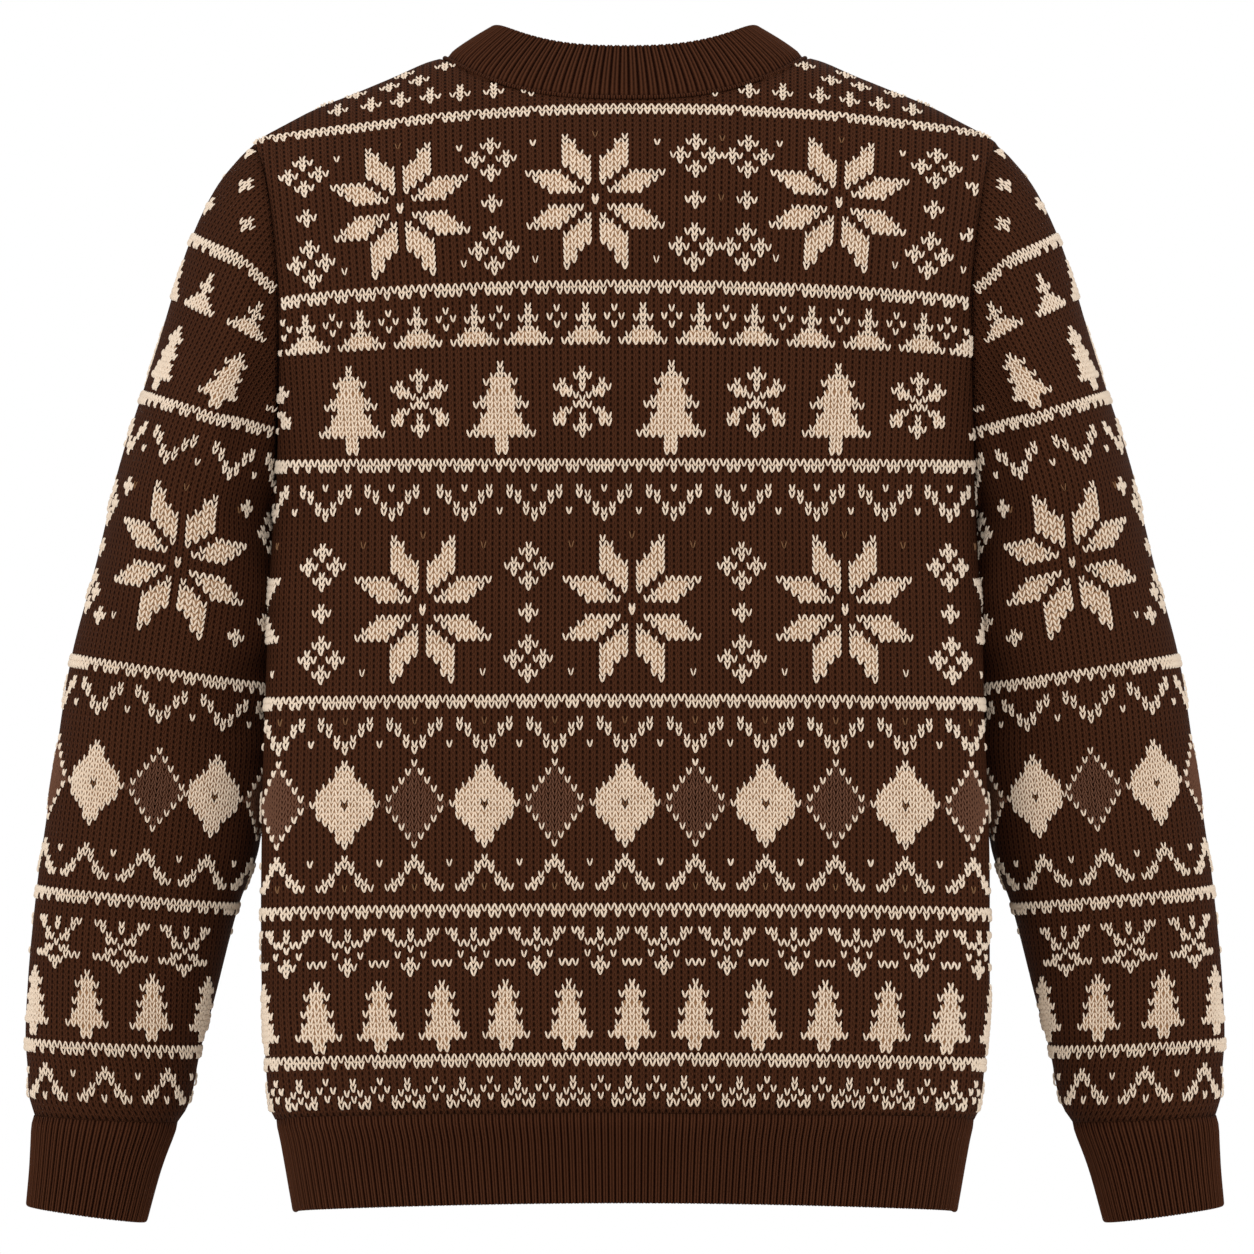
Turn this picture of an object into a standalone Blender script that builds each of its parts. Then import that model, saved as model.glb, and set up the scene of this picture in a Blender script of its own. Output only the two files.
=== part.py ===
"""Crew-neck jacquard sweater, filled out as if worn, with nothing inside.

Metres, +Z up. The origin is the middle of the neck base, level with the two high shoulder points.
The back of the garment faces -Y and the wearer's left arm is at -X.
Every piece is one closed wall of cloth: a grid of points gives its outer face, and the wall goes
inwards from there. Pieces that are sewn together share the points of their seam and are drawn back
from it by half of SEAM_GAP each.
"""
import math

import bmesh
import bpy
import numpy as np

# Driving dimensions
WALL = 0.003  # thickness of the knitted cloth
SEAM_GAP = 0.0003  # between the edges of two pieces at a seam
HEM_SEAM = -0.6420  # height of the seam over the hem rib, at the middle of the back
HEM_EDGE = -0.6978
HEM_SAG = 0.0105  # how much lower the hem hangs at the sides than at the middle
UNDERARM = -0.275
NECK_HALF_WIDTH = 0.118
NECK_DROP = {"back": 0.023, "front": 0.083}  # of the neck seam, below the origin
NECK_ROUNDNESS = {"back": 2.0, "front": 2.2}  # exponent of the neckline, 2 being a parabola
SHOULDER_HALF_WIDTH = 0.231
SHOULDER_ROUND = {"back": 0.14, "front": 0.15}  # height over which the shoulder rounds away
NECK_TOP = {"half_width": 0.0820, "side": 0.0247}  # of the neck rib's free edge
NECK_TOP_REACH = {"back": 0.048, "front": 0.070}
NECK_TOP_HEIGHT = {"back": 0.006, "front": -0.054}
NECK_BULGE = 0.0015  # how far the neck rib swells out between its edges
ARMHOLE_CUT = 0.105  # how far the armhole cuts in, as a share of the half girth
BODY_SQUARENESS = 2.4  # exponent of the body's oval section, 2 being an ellipse
SLEEVE_LENGTH = 0.6223  # shoulder tip to cuff seam, along the outer fold
UNDERARM_ALONG = 0.400  # cuff seam to underarm, on the same scale
CUFF_LENGTH = 0.0545

# How finely the walls are cut
NECK_STEPS = 12
SHOULDER_STEPS = 6
BODY_STEPS = 12
ARMHOLE_STEPS = 9
RIB_STEPS = 3
SLEEVE_STEPS = {"arm": 9, "cap": 8}

SIDES = {"back": -1.0, "front": 1.0}
ARMS = {"left": -1.0, "right": 1.0}

TRUNK = {
    "columns": ("height", "half_width", "back", "front"),
    "rows": (
        (-0.7100, 0.2045, 0.098, 0.103),
        (-0.6900, 0.2080, 0.100, 0.105),
        (-0.6740, 0.2108, 0.103, 0.108),
        (-0.6600, 0.2135, 0.107, 0.112),
        (-0.6450, 0.2183, 0.112, 0.117),
        (-0.6140, 0.2219, 0.115, 0.120),
        (-0.5700, 0.2249, 0.115, 0.121),
        (-0.4750, 0.2249, 0.111, 0.119),
        (-0.3300, 0.2236, 0.112, 0.120),
        (-0.2750, 0.2224, 0.115, 0.121),
        (-0.2200, 0.2260, 0.117, 0.120),
        (-0.1500, 0.2300, 0.116, 0.115),
        (-0.0500, 0.2400, 0.108, 0.100),
        (0.0100, 0.2430, 0.100, 0.092),
    ),
}

SHOULDER = {
    "columns": ("out", "height"),
    "rows": (
        (0.0000, 0.0180),
        (0.0600, 0.0135),
        (0.1180, 0.0030),
        (0.1420, -0.0068),
        (0.1663, -0.0167),
        (0.1910, -0.0265),
        (0.2100, -0.0364),
        (0.2260, -0.0455),
        (0.2310, -0.0495),
        (0.2500, -0.0700),
    ),
}

SLEEVE = {
    "columns": ("along", "outer_x", "outer_z", "tilt", "half_width", "half_depth", "forward"),
    "rows": (
        (-0.0550, 0.3690, -0.7027, 9.0, 0.0375, 0.0310, 0.050),
        (-0.0280, 0.3678, -0.6756, 6.0, 0.0400, 0.0330, 0.049),
        (0.0000, 0.3690, -0.6500, 2.5, 0.0465, 0.0370, 0.048),
        (0.0150, 0.3718, -0.6330, 2.5, 0.0515, 0.0405, 0.047),
        (0.0400, 0.3728, -0.6077, 2.5, 0.0545, 0.0425, 0.046),
        (0.0800, 0.3708, -0.5676, 3.5, 0.0586, 0.0450, 0.045),
        (0.1370, 0.3658, -0.5109, 4.9, 0.0630, 0.0480, 0.044),
        (0.2100, 0.3548, -0.4390, 6.5, 0.0650, 0.0530, 0.042),
        (0.2840, 0.3430, -0.3659, 8.4, 0.0600, 0.0590, 0.038),
        (0.3400, 0.3292, -0.3116, 11.0, 0.0530, 0.0660, 0.030),
        (0.4000, 0.3142, -0.2536, 14.0, 0.0460, 0.0720, 0.015),
        (0.4516, 0.2989, -0.2036, 17.0, 0.0480, 0.0700, 0.006),
        (0.5000, 0.2840, -0.1570, 25.0, 0.0650, 0.0660, 0.002),
        (0.5557, 0.2662, -0.1050, 33.0, 0.0900, 0.0580, 0.000),
        (0.5902, 0.2511, -0.0740, 40.0, 0.1200, 0.0520, 0.000),
        (0.6223, 0.2310, -0.0495, 45.0, 0.1400, 0.0480, 0.000),
    ),
}

CAP = {
    "columns": ("height", "along"),
    "rows": (
        (UNDERARM, UNDERARM_ALONG),
        (-0.2265, 0.4516),
        (-0.1390, 0.5550),
        (-0.0800, 0.6010),
        (-0.0495, SLEEVE_LENGTH),
    ),
}
CAP_BLEND = 0.085  # length of sleeve over which the armhole's shape fades out

# Soft folds: share of the girth and height of the middle, lean, half length, half width, depth
BODY_FOLDS = {
    "columns": ("girth", "height", "lean", "half_length", "half_width", "depth"),
    "back": (
        (-0.78, -0.330, 0.35, 0.090, 0.030, 0.0040),
        (0.80, -0.345, -0.30, 0.100, 0.034, 0.0045),
        (-0.55, -0.540, 0.10, 0.110, 0.040, 0.0025),
        (0.48, -0.560, -0.12, 0.120, 0.045, 0.0028),
    ),
    "front": (
        (-0.76, -0.340, 0.32, 0.095, 0.032, 0.0045),
        (0.79, -0.335, -0.36, 0.085, 0.030, 0.0040),
        (-0.42, -0.550, 0.10, 0.120, 0.045, 0.0028),
        (0.52, -0.530, -0.08, 0.110, 0.040, 0.0030),
    ),
}

CLOTH = {  # linear colour, roughness
    "jacquard_knit": ((0.050, 0.017, 0.008), 0.90),
    "rib_knit": ((0.036, 0.011, 0.005), 0.92),
}


def smooth(table, name, where):
    """A column's value at places of the first column, on a curve that never overshoots."""
    rows = np.array(table["rows"], float)
    knots, values = rows[:, 0], rows[:, table["columns"].index(name)]
    slopes = np.diff(values) / np.diff(knots)
    tangents = np.zeros(len(knots))
    product = slopes[1:] * slopes[:-1]
    total = slopes[1:] + slopes[:-1]
    level = np.where(total == 0, 1.0, total)
    tangents[1:-1] = np.where(product > 0, 2 * product / level, 0.0)
    tangents[0], tangents[-1] = slopes[0], slopes[-1]
    where = np.clip(np.asarray(where, float), knots[0], knots[-1])
    i = np.clip(np.searchsorted(knots, where) - 1, 0, len(knots) - 2)
    span = knots[i + 1] - knots[i]
    t = (where - knots[i]) / span
    start = (1 + 2 * t) * (1 - t) ** 2 * values[i] + t * (1 - t) ** 2 * span * tangents[i]
    end = t * t * (3 - 2 * t) * values[i + 1] - t * t * (1 - t) * span * tangents[i + 1]
    return start + end


def girth_curve(steps=600):
    """Shares of the quarter girth, with the oval's x and y there as shares of its half sizes."""
    angle = np.linspace(0.0, math.pi / 2, steps)
    x = np.sin(angle) ** (2 / BODY_SQUARENESS)
    y = np.clip(np.cos(angle), 0, 1) ** (2 / BODY_SQUARENESS)
    length = np.hypot(np.diff(x), np.diff(y) * 0.5)
    share = np.concatenate(([0.0], np.cumsum(length)))
    return share / share[-1], x, y


GIRTH, GIRTH_X, GIRTH_Y = girth_curve()
HALF_GIRTH = 0.27  # rough distance from the middle of a panel to its side, for the folds


def ridge_height(x):
    """Height of the shoulder line at a distance from the middle; the neck is cut out of it."""
    return smooth(SHOULDER, "height", np.abs(x))


def fold_depth(name, girth, height):
    """How far the soft folds press the body's cloth in."""
    depth = np.zeros_like(girth)
    for middle, level, lean, half_length, half_width, deep in BODY_FOLDS[name]:
        across = (girth - middle) * HALF_GIRTH - lean * (height - level)
        along = (height - level) / half_length
        depth += deep * np.exp(-((across / half_width) ** 2)) * np.exp(-(along**2))
    return depth * (1 - girth**6)


def trunk(side, girth, height):
    """Points of the body's outer face at signed shares of the half girth."""
    name = "back" if side < 0 else "front"
    x = np.sign(girth) * smooth(TRUNK, "half_width", height) * np.interp(np.abs(girth), GIRTH, GIRTH_X)
    below = np.clip((ridge_height(x) - height) / SHOULDER_ROUND[name], 0.0, 1.0)
    reach = smooth(TRUNK, name, height) * np.sqrt(1 - (1 - below) ** 2)
    out = reach * np.interp(np.abs(girth), GIRTH, GIRTH_Y)
    y = side * (out - fold_depth(name, girth, height))
    return np.stack([x, y, height], axis=-1)


def girth_at(x, height):
    """Signed share of the half girth where the body is x wide."""
    share = np.clip(np.abs(x) / smooth(TRUNK, "half_width", height), 0.0, 1.0)
    return np.sign(x) * np.interp(share, GIRTH_X, GIRTH)


def sag(height, girth):
    """How much lower the cloth hangs at a share of the girth than at the middle."""
    return HEM_SAG * np.clip((-0.35 - height) / 0.35, 0.0, 1.0) * girth**2


TIP_HEIGHT = float(smooth(SHOULDER, "height", SHOULDER_HALF_WIDTH))
TIP_GIRTH = float(girth_at(SHOULDER_HALF_WIDTH, TIP_HEIGHT))


def armhole_edge(step):
    """Share of the girth and height of the armhole seam, from the underarm up to the shoulder tip."""
    angle = math.pi * (1 - step)
    upper = (1 + math.cos(angle)) / 2
    girth = upper * TIP_GIRTH + (1 - upper) - ARMHOLE_CUT * math.sin(angle)
    return girth, UNDERARM + (TIP_HEIGHT - UNDERARM) * upper


def panel_columns():
    """Signed places across a panel, 1 at its edge, with a column on each high shoulder point."""
    turn = np.linspace(-math.pi / 2, math.pi / 2, NECK_STEPS + 1)
    neck = girth_at(NECK_HALF_WIDTH * np.sin(turn), 0.0) / TIP_GIRTH
    shoulder = np.linspace(neck[-1], 1.0, SHOULDER_STEPS + 1)[1:]
    return np.concatenate((-shoulder[::-1], neck, shoulder))


def top_edge(name, girth):
    """Height of a panel's upper edge: the neck seam in the middle, the shoulder seams beside it."""
    width = smooth(TRUNK, "half_width", 0.0) * np.interp(np.abs(girth), GIRTH, GIRTH_X)
    height = ridge_height(width)
    for _ in range(15):
        width = smooth(TRUNK, "half_width", height) * np.interp(np.abs(girth), GIRTH, GIRTH_X)
        height = ridge_height(width)
    inside = 1 - np.minimum(width / NECK_HALF_WIDTH, 1.0) ** NECK_ROUNDNESS[name]
    corner = ridge_height(NECK_HALF_WIDTH)
    neckline = corner - (NECK_DROP[name] + corner) * inside
    return np.where(width < NECK_HALF_WIDTH, neckline, height)


def panel_grid(name):
    """Outer face of the back or front panel, from the hem seam up to the neck and shoulders."""
    columns = panel_columns()
    rows = []
    for level in np.linspace(HEM_SEAM, UNDERARM, BODY_STEPS + 1):
        height = level - sag(level, columns)
        rows.append((columns, height))
    tops = top_edge(name, columns * TIP_GIRTH)
    for step in np.arange(1, ARMHOLE_STEPS + 1) / ARMHOLE_STEPS:
        edge_girth, edge_height = armhole_edge(step)
        share = (edge_height - UNDERARM) / (TIP_HEIGHT - UNDERARM)
        rows.append((columns * edge_girth, UNDERARM + share * (tops - UNDERARM)))
    girth = np.array([row[0] for row in rows])
    height = np.array([row[1] for row in rows])
    return trunk(SIDES[name], girth, height)


def sleeve_point(along, turn):
    """Point of the right sleeve's plain tube; turn is 0 at the outer fold and grows to the back."""
    tilt = np.radians(smooth(SLEEVE, "tilt", along))
    inwards = smooth(SLEEVE, "half_width", along) * (1 - np.cos(turn))
    x = smooth(SLEEVE, "outer_x", along) - inwards * np.cos(tilt)
    z = smooth(SLEEVE, "outer_z", along) - inwards * np.sin(tilt)
    y = smooth(SLEEVE, "forward", along) - smooth(SLEEVE, "half_depth", along) * np.sin(turn)
    return np.stack([x, y, z], axis=-1)


def armhole_loop(grids):
    """The armhole seam on the right: shoulder tip, down the back, underarm, up the front."""
    back = grids["back"][BODY_STEPS:, -1][::-1]
    front = grids["front"][BODY_STEPS:, -1]
    return np.concatenate((back, front[1:-1]))


def sleeve_grid(loop):
    """Outer face of the right sleeve, cuff seam to armhole seam, a column for each seam point."""
    turns = np.linspace(0.0, 2 * math.pi, len(loop), endpoint=False)
    ends = smooth(CAP, "along", loop[:, 2])
    arm_end = UNDERARM_ALONG - 0.07
    base = sleeve_point(ends, turns)
    arm = np.linspace(0.0, arm_end, SLEEVE_STEPS["arm"] + 1)
    cap = np.arange(1, SLEEVE_STEPS["cap"] + 1) / SLEEVE_STEPS["cap"]
    rows = []
    for along in arm:
        rows.append(np.full(len(loop), along))
    for share in cap:
        rows.append(arm_end + (ends - arm_end) * share)
    grid = []
    for along in rows:
        near = np.clip(1 - (ends - along) / CAP_BLEND, 0.0, 1.0)
        fade = (near * near * (3 - 2 * near))[:, None]
        grid.append(sleeve_point(along, turns) + (loop - base) * fade)
    return np.array(grid)


def cuff_grid(count):
    """Outer face of the right cuff, from its free edge up to its seam."""
    turns = np.linspace(0.0, 2 * math.pi, count, endpoint=False)
    rows = [sleeve_point(along, turns) for along in np.linspace(-CUFF_LENGTH, 0.0, RIB_STEPS + 1)]
    return np.array(rows)


def hem_grid(name):
    """Outer face of one hem rib, from its free edge up to its seam."""
    columns = panel_columns()
    rows = []
    for level in np.linspace(HEM_EDGE, HEM_SEAM, RIB_STEPS + 1):
        rows.append(trunk(SIDES[name], columns, level - sag(level, columns)))
    return np.array(rows)


def neck_grid(grids):
    """Outer face of the neck rib, from its seam up to its free edge, round from the wearer's left."""
    first = SHOULDER_STEPS
    last = SHOULDER_STEPS + NECK_STEPS
    back = grids["back"][-1, first : last + 1]
    front = grids["front"][-1, first : last + 1][::-1]
    seam = np.concatenate((back, front[1:-1]))
    width = seam[:, 0] / NECK_HALF_WIDTH
    depth = np.sqrt(np.clip(1 - width**2, 0.0, 1.0))
    edge = np.zeros_like(seam)
    for name, rows in (("back", slice(0, NECK_STEPS + 1)), ("front", slice(NECK_STEPS + 1, None))):
        share = 1 - np.abs(width[rows]) ** NECK_ROUNDNESS[name]
        drop = (NECK_TOP["side"] - NECK_TOP_HEIGHT[name]) * share
        edge[rows, 0] = NECK_TOP["half_width"] * width[rows]
        edge[rows, 1] = SIDES[name] * NECK_TOP_REACH[name] * depth[rows]
        edge[rows, 2] = NECK_TOP["side"] - drop
    grid = []
    for share in np.linspace(0.0, 1.0, RIB_STEPS + 1):
        middle = seam + (edge - seam) * share
        outward = middle * (1, 1, 0) / np.linalg.norm(middle[:, :2], axis=1, keepdims=True)
        grid.append(middle + outward * NECK_BULGE * math.sin(math.pi * share))
    return np.array(grid)


def unit(vectors):
    return vectors / np.linalg.norm(vectors, axis=-1, keepdims=True)


def piece_of(name, family, grid, cloth):
    """A piece's facts; the neck, sleeves and cuffs close on themselves."""
    closed = family in ("neck", "sleeve", "cuff")
    piece = {"name": name, "family": family, "grid": grid, "closed": closed, "cloth": cloth}
    piece["inward"] = inward(piece)
    return piece


def inward(piece):
    """Unit directions from a piece's outer face into its wall, one for each point of its grid."""
    grid = piece["grid"]
    if piece["closed"]:
        grid = np.concatenate((grid, grid[:, :1]), axis=1)
    rising = grid[1:, 1:] - grid[:-1, :-1]
    falling = grid[1:, :-1] - grid[:-1, 1:]
    faces = np.cross(rising, falling)
    total = np.zeros_like(grid)
    for rows in (slice(None, -1), slice(1, None)):
        for columns in (slice(None, -1), slice(1, None)):
            total[rows, columns] += faces
    if piece["closed"]:
        total[:, 0] += total[:, -1]
        total = total[:, :-1]
        middle = piece["grid"].mean(axis=1, keepdims=True)
    else:
        middle = piece["grid"] * (0, 0, 1)
    direction = unit(total)
    return direction * np.sign(np.sum(direction * (middle - piece["grid"])))


def edge_places(piece):
    """Row and column of every point on a piece's edges."""
    rows, columns = piece["grid"].shape[:2]
    places = {(i, j) for i in (0, rows - 1) for j in range(columns)}
    if not piece["closed"]:
        places |= {(i, j) for i in range(rows) for j in (0, columns - 1)}
    return sorted(places)


def share_seams(pieces):
    """Gives the pieces that meet at a seam point one common direction for their walls there.

    Pieces of one family, such as the back and the front, count together as one surface.
    """
    meeting = {}
    for piece in pieces:
        for place in edge_places(piece):
            families = meeting.setdefault(seam_key(piece, place), {})
            family = piece["family"]
            families[family] = families.get(family, 0.0) + piece["inward"][place]
    for piece in pieces:
        for place in edge_places(piece):
            families = meeting[seam_key(piece, place)]
            piece["inward"][place] = unit(sum(unit(total) for total in families.values()))


def seam_key(piece, place):
    return tuple(np.round(piece["grid"][place], 6) + 0.0)


def drawn_back(piece):
    """The piece's grid with its edges moved half of the seam gap towards its middle."""
    grid = piece["grid"]
    moved = grid.copy()
    moved[0] += unit(grid[1] - grid[0]) * SEAM_GAP / 2
    moved[-1] += unit(grid[-2] - grid[-1]) * SEAM_GAP / 2
    if not piece["closed"]:
        moved[:, 0] += unit(grid[:, 1] - grid[:, 0]) * SEAM_GAP / 2
        moved[:, -1] += unit(grid[:, -2] - grid[:, -1]) * SEAM_GAP / 2
    return moved


def add_wall(piece):
    """One closed wall: the outer grid, the inner grid and the rims between them."""
    outer = drawn_back(piece)
    inner = outer + piece["inward"] * WALL
    rows, columns = outer.shape[:2]
    last = columns if piece["closed"] else columns - 1
    form = bmesh.new()
    skins = [[[form.verts.new(point) for point in row] for row in grid] for grid in (outer, inner)]
    for skin in skins:
        for i in range(rows - 1):
            for j in range(last):
                k = (j + 1) % columns
                form.faces.new((skin[i][j], skin[i][k], skin[i + 1][k]))
                form.faces.new((skin[i][j], skin[i + 1][k], skin[i + 1][j]))
    rims = []
    for i in (0, rows - 1):
        rims += [((i, j), (i, (j + 1) % columns)) for j in range(last)]
    if not piece["closed"]:
        for j in (0, columns - 1):
            rims += [((i, j), (i + 1, j)) for i in range(rows - 1)]
    for ends in rims:
        (i, j), (m, n) = sorted(ends, key=lambda place: outer[place][2])  # neighbours cut alike
        form.faces.new((skins[0][i][j], skins[0][m][n], skins[1][m][n]))
        form.faces.new((skins[0][i][j], skins[1][m][n], skins[1][i][j]))
    bmesh.ops.recalc_face_normals(form, faces=form.faces)
    mesh = bpy.data.meshes.new(piece["name"])
    form.to_mesh(mesh)
    form.free()
    mesh.shade_smooth()
    mesh.set_sharp_from_angle(angle=math.radians(60))
    mesh.materials.append(cloth_material(piece))
    thing = bpy.data.objects.new(piece["name"], mesh)
    bpy.context.scene.collection.objects.link(thing)


def cloth_material(piece):
    colour, roughness = CLOTH[piece["cloth"]]
    material = bpy.data.materials.new(piece["name"] + "_" + piece["cloth"])
    material.use_nodes = True
    shader = material.node_tree.nodes["Principled BSDF"]
    shader.inputs["Base Color"].default_value = (*colour, 1.0)
    shader.inputs["Roughness"].default_value = roughness
    shader.inputs["Metallic"].default_value = 0.0
    return material


def build():
    for thing in list(bpy.data.objects):
        bpy.data.objects.remove(thing, do_unlink=True)
    panels = {name: panel_grid(name) for name in SIDES}
    loop = armhole_loop(panels)
    sleeve = sleeve_grid(loop)
    cuff = cuff_grid(len(loop))
    pieces = [piece_of("neck_rib", "neck", neck_grid(panels), "rib_knit")]
    for name in SIDES:
        pieces.append(piece_of(name, "body", panels[name], "jacquard_knit"))
        pieces.append(piece_of("hem_rib_" + name, "hem", hem_grid(name), "rib_knit"))
    for arm, side in ARMS.items():
        pieces.append(piece_of("sleeve_" + arm, "sleeve", sleeve * (side, 1, 1), "jacquard_knit"))
        pieces.append(piece_of("cuff_" + arm, "cuff", cuff * (side, 1, 1), "rib_knit"))
    share_seams(pieces)
    for piece in pieces:
        add_wall(piece)


build()
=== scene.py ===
import math

import bmesh
import bpy
import numpy as np
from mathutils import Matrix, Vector


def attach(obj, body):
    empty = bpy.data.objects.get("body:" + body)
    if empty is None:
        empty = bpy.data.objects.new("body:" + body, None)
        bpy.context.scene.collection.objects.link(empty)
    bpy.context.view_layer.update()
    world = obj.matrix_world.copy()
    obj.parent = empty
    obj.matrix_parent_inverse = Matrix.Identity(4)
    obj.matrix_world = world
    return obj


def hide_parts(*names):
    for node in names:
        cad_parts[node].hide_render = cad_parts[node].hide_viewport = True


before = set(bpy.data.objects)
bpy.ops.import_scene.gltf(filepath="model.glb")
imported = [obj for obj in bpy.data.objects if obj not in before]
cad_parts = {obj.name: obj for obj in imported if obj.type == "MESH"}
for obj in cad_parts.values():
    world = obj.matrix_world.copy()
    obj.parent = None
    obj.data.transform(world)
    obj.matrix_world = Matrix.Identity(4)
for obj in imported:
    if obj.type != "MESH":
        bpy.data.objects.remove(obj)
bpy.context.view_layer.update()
print("frame loaded:", len(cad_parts), "nodes")

# Lengths are metres. Heights hang down from the neck base, and the back of the sweater faces -Y.
body = {
    "hemSeam": -0.6420,
    "hemEdge": -0.6978,
    "hemSag": 0.0105,           # the hem hangs this much lower at the sides
    "sagFrom": -0.35,           # and it starts to hang at this height
    "sagOver": 0.35,
    "underarm": -0.275,
    "neckHalfWidth": 0.1115,
    "neckDrop": {"back": 0.023, "front": 0.083},
    "neckRoundness": {"back": 2.75, "front": 2.3},
    "shoulderHalfWidth": 0.231,
    "shoulderRound": {"back": 0.14, "front": 0.15},
    "armholeCut": 0.105,
    "squareness": 2.4,
    "flatness": 0.5,            # depth of the body's oval to its width
    "coreWidth": 0.8,           # seams are drawn in towards a core this wide, under the shoulders
    "coreDrop": 0.09,
    "pressedOver": 8.0,         # higher keeps the sleeves' press on the sides to a narrower strip
    "halfGirth": 0.27,
    "side": {"back": -1.0, "front": 1.0},
    "searches": 15,             # rounds that settle a height on the curved shoulder
}

trunkTable = {
    "columns": ("height", "halfWidth", "back", "front", "pressedIn"),
    "rows": (
        (-0.7100, 0.2045, 0.098, 0.103, 0.0000),
        (-0.6900, 0.2080, 0.100, 0.105, 0.0000),
        (-0.6740, 0.2108, 0.103, 0.108, 0.0000),
        (-0.6600, 0.2135, 0.107, 0.112, 0.0000),
        (-0.6450, 0.2183, 0.112, 0.117, 0.0000),
        (-0.6140, 0.2219, 0.115, 0.120, 0.0000),
        (-0.5700, 0.2249, 0.115, 0.121, 0.0000),
        (-0.4750, 0.2249, 0.111, 0.119, 0.0006),
        (-0.3300, 0.2236, 0.112, 0.120, 0.0042),
        (-0.2750, 0.2224, 0.115, 0.121, 0.0054),
        (-0.2200, 0.2260, 0.117, 0.120, 0.0064),
        (-0.1500, 0.2300, 0.116, 0.115, 0.0040),
        (-0.0500, 0.2400, 0.108, 0.100, 0.0000),
        (0.0100, 0.2430, 0.100, 0.092, 0.0000),
    ),
}

shoulderTable = {
    "columns": ("out", "height"),
    "rows": (
        (0.0000, 0.0180),
        (0.0600, 0.0135),
        (0.1180, 0.0030),
        (0.1420, -0.0068),
        (0.1663, -0.0167),
        (0.1910, -0.0265),
        (0.2100, -0.0364),
        (0.2260, -0.0455),
        (0.2310, -0.0495),
        (0.2500, -0.0700),
    ),
}

sleeveTable = {
    "columns": ("along", "outerX", "outerZ", "tilt", "halfWidth", "halfDepth", "forward"),
    "rows": (
        (-0.0550, 0.3725, -0.7072, 8.0, 0.0379, 0.0312, 0.050),
        (-0.0280, 0.3700, -0.6780, 6.0, 0.0408, 0.0335, 0.049),
        (0.0000, 0.3690, -0.6500, 2.5, 0.0465, 0.0370, 0.048),
        (0.0150, 0.3718, -0.6330, 2.5, 0.0515, 0.0405, 0.047),
        (0.0400, 0.3728, -0.6077, 2.5, 0.0545, 0.0425, 0.046),
        (0.0800, 0.3708, -0.5676, 3.5, 0.0586, 0.0450, 0.045),
        (0.1370, 0.3658, -0.5109, 4.9, 0.0630, 0.0480, 0.044),
        (0.1800, 0.3596, -0.4685, 5.8, 0.0668, 0.0510, 0.043),
        (0.2100, 0.3548, -0.4390, 6.5, 0.0669, 0.0530, 0.042),
        (0.2840, 0.3430, -0.3659, 8.4, 0.0663, 0.0590, 0.038),
        (0.3400, 0.3292, -0.3116, 11.0, 0.0612, 0.0660, 0.030),
        (0.4000, 0.3142, -0.2536, 14.0, 0.0522, 0.0720, 0.015),
        (0.4516, 0.2989, -0.2036, 17.0, 0.0505, 0.0700, 0.006),
        (0.5000, 0.2840, -0.1570, 25.0, 0.0650, 0.0660, 0.002),
        (0.5557, 0.2662, -0.1050, 33.0, 0.0900, 0.0580, 0.000),
        (0.5902, 0.2511, -0.0740, 40.0, 0.1200, 0.0520, 0.000),
        (0.6223, 0.2310, -0.0495, 45.0, 0.1400, 0.0480, 0.000),
    ),
}

capTable = {
    "columns": ("height", "along"),
    "rows": (
        (-0.2750, 0.4000),
        (-0.2265, 0.4516),
        (-0.1390, 0.5550),
        (-0.0800, 0.6010),
        (-0.0495, 0.6223),
    ),
}

# Soft folds: share of the girth and height of the middle, lean, half length, half width, depth
bodyFolds = {
    "back": (
        (-0.78, -0.330, 0.35, 0.090, 0.030, 0.0040),
        (0.80, -0.345, -0.30, 0.100, 0.034, 0.0045),
        (-0.55, -0.540, 0.10, 0.110, 0.040, 0.0025),
        (0.48, -0.560, -0.12, 0.120, 0.045, 0.0028),
    ),
    "front": (
        (-0.76, -0.340, 0.32, 0.095, 0.032, 0.0045),
        (0.79, -0.335, -0.36, 0.085, 0.030, 0.0040),
        (-0.42, -0.550, 0.10, 0.120, 0.045, 0.0028),
        (0.52, -0.530, -0.08, 0.110, 0.040, 0.0030),
    ),
}


def arcLength(points):
    # length so far along a line of points, or along each row of them
    steps = np.linalg.norm(np.diff(points, axis=-2), axis=-1)
    return np.concatenate((np.zeros_like(steps[..., :1]), np.cumsum(steps, axis=-1)), axis=-1)


def easeIn(t):
    return t * t * (3 - 2 * t)


def smooth(table, name, where):
    # a table's value, on curves without overshoot through its rows
    rows = np.array(table["rows"], float)
    knots, values = rows[:, 0], rows[:, table["columns"].index(name)]
    slopes = np.diff(values) / np.diff(knots)
    tangents = np.zeros(len(knots))
    product = slopes[1:] * slopes[:-1]
    total = slopes[1:] + slopes[:-1]
    level = np.where(total == 0, 1.0, total)
    tangents[1:-1] = np.where(product > 0, 2 * product / level, 0.0)
    tangents[0], tangents[-1] = slopes[0], slopes[-1]
    where = np.clip(np.asarray(where, float), knots[0], knots[-1])
    i = np.clip(np.searchsorted(knots, where) - 1, 0, len(knots) - 2)
    span = knots[i + 1] - knots[i]
    t = (where - knots[i]) / span
    start = (1 + 2 * t) * (1 - t) ** 2 * values[i] + t * (1 - t) ** 2 * span * tangents[i]
    end = easeIn(t) * values[i + 1] - t * t * (1 - t) * span * tangents[i + 1]
    return start + end


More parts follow.
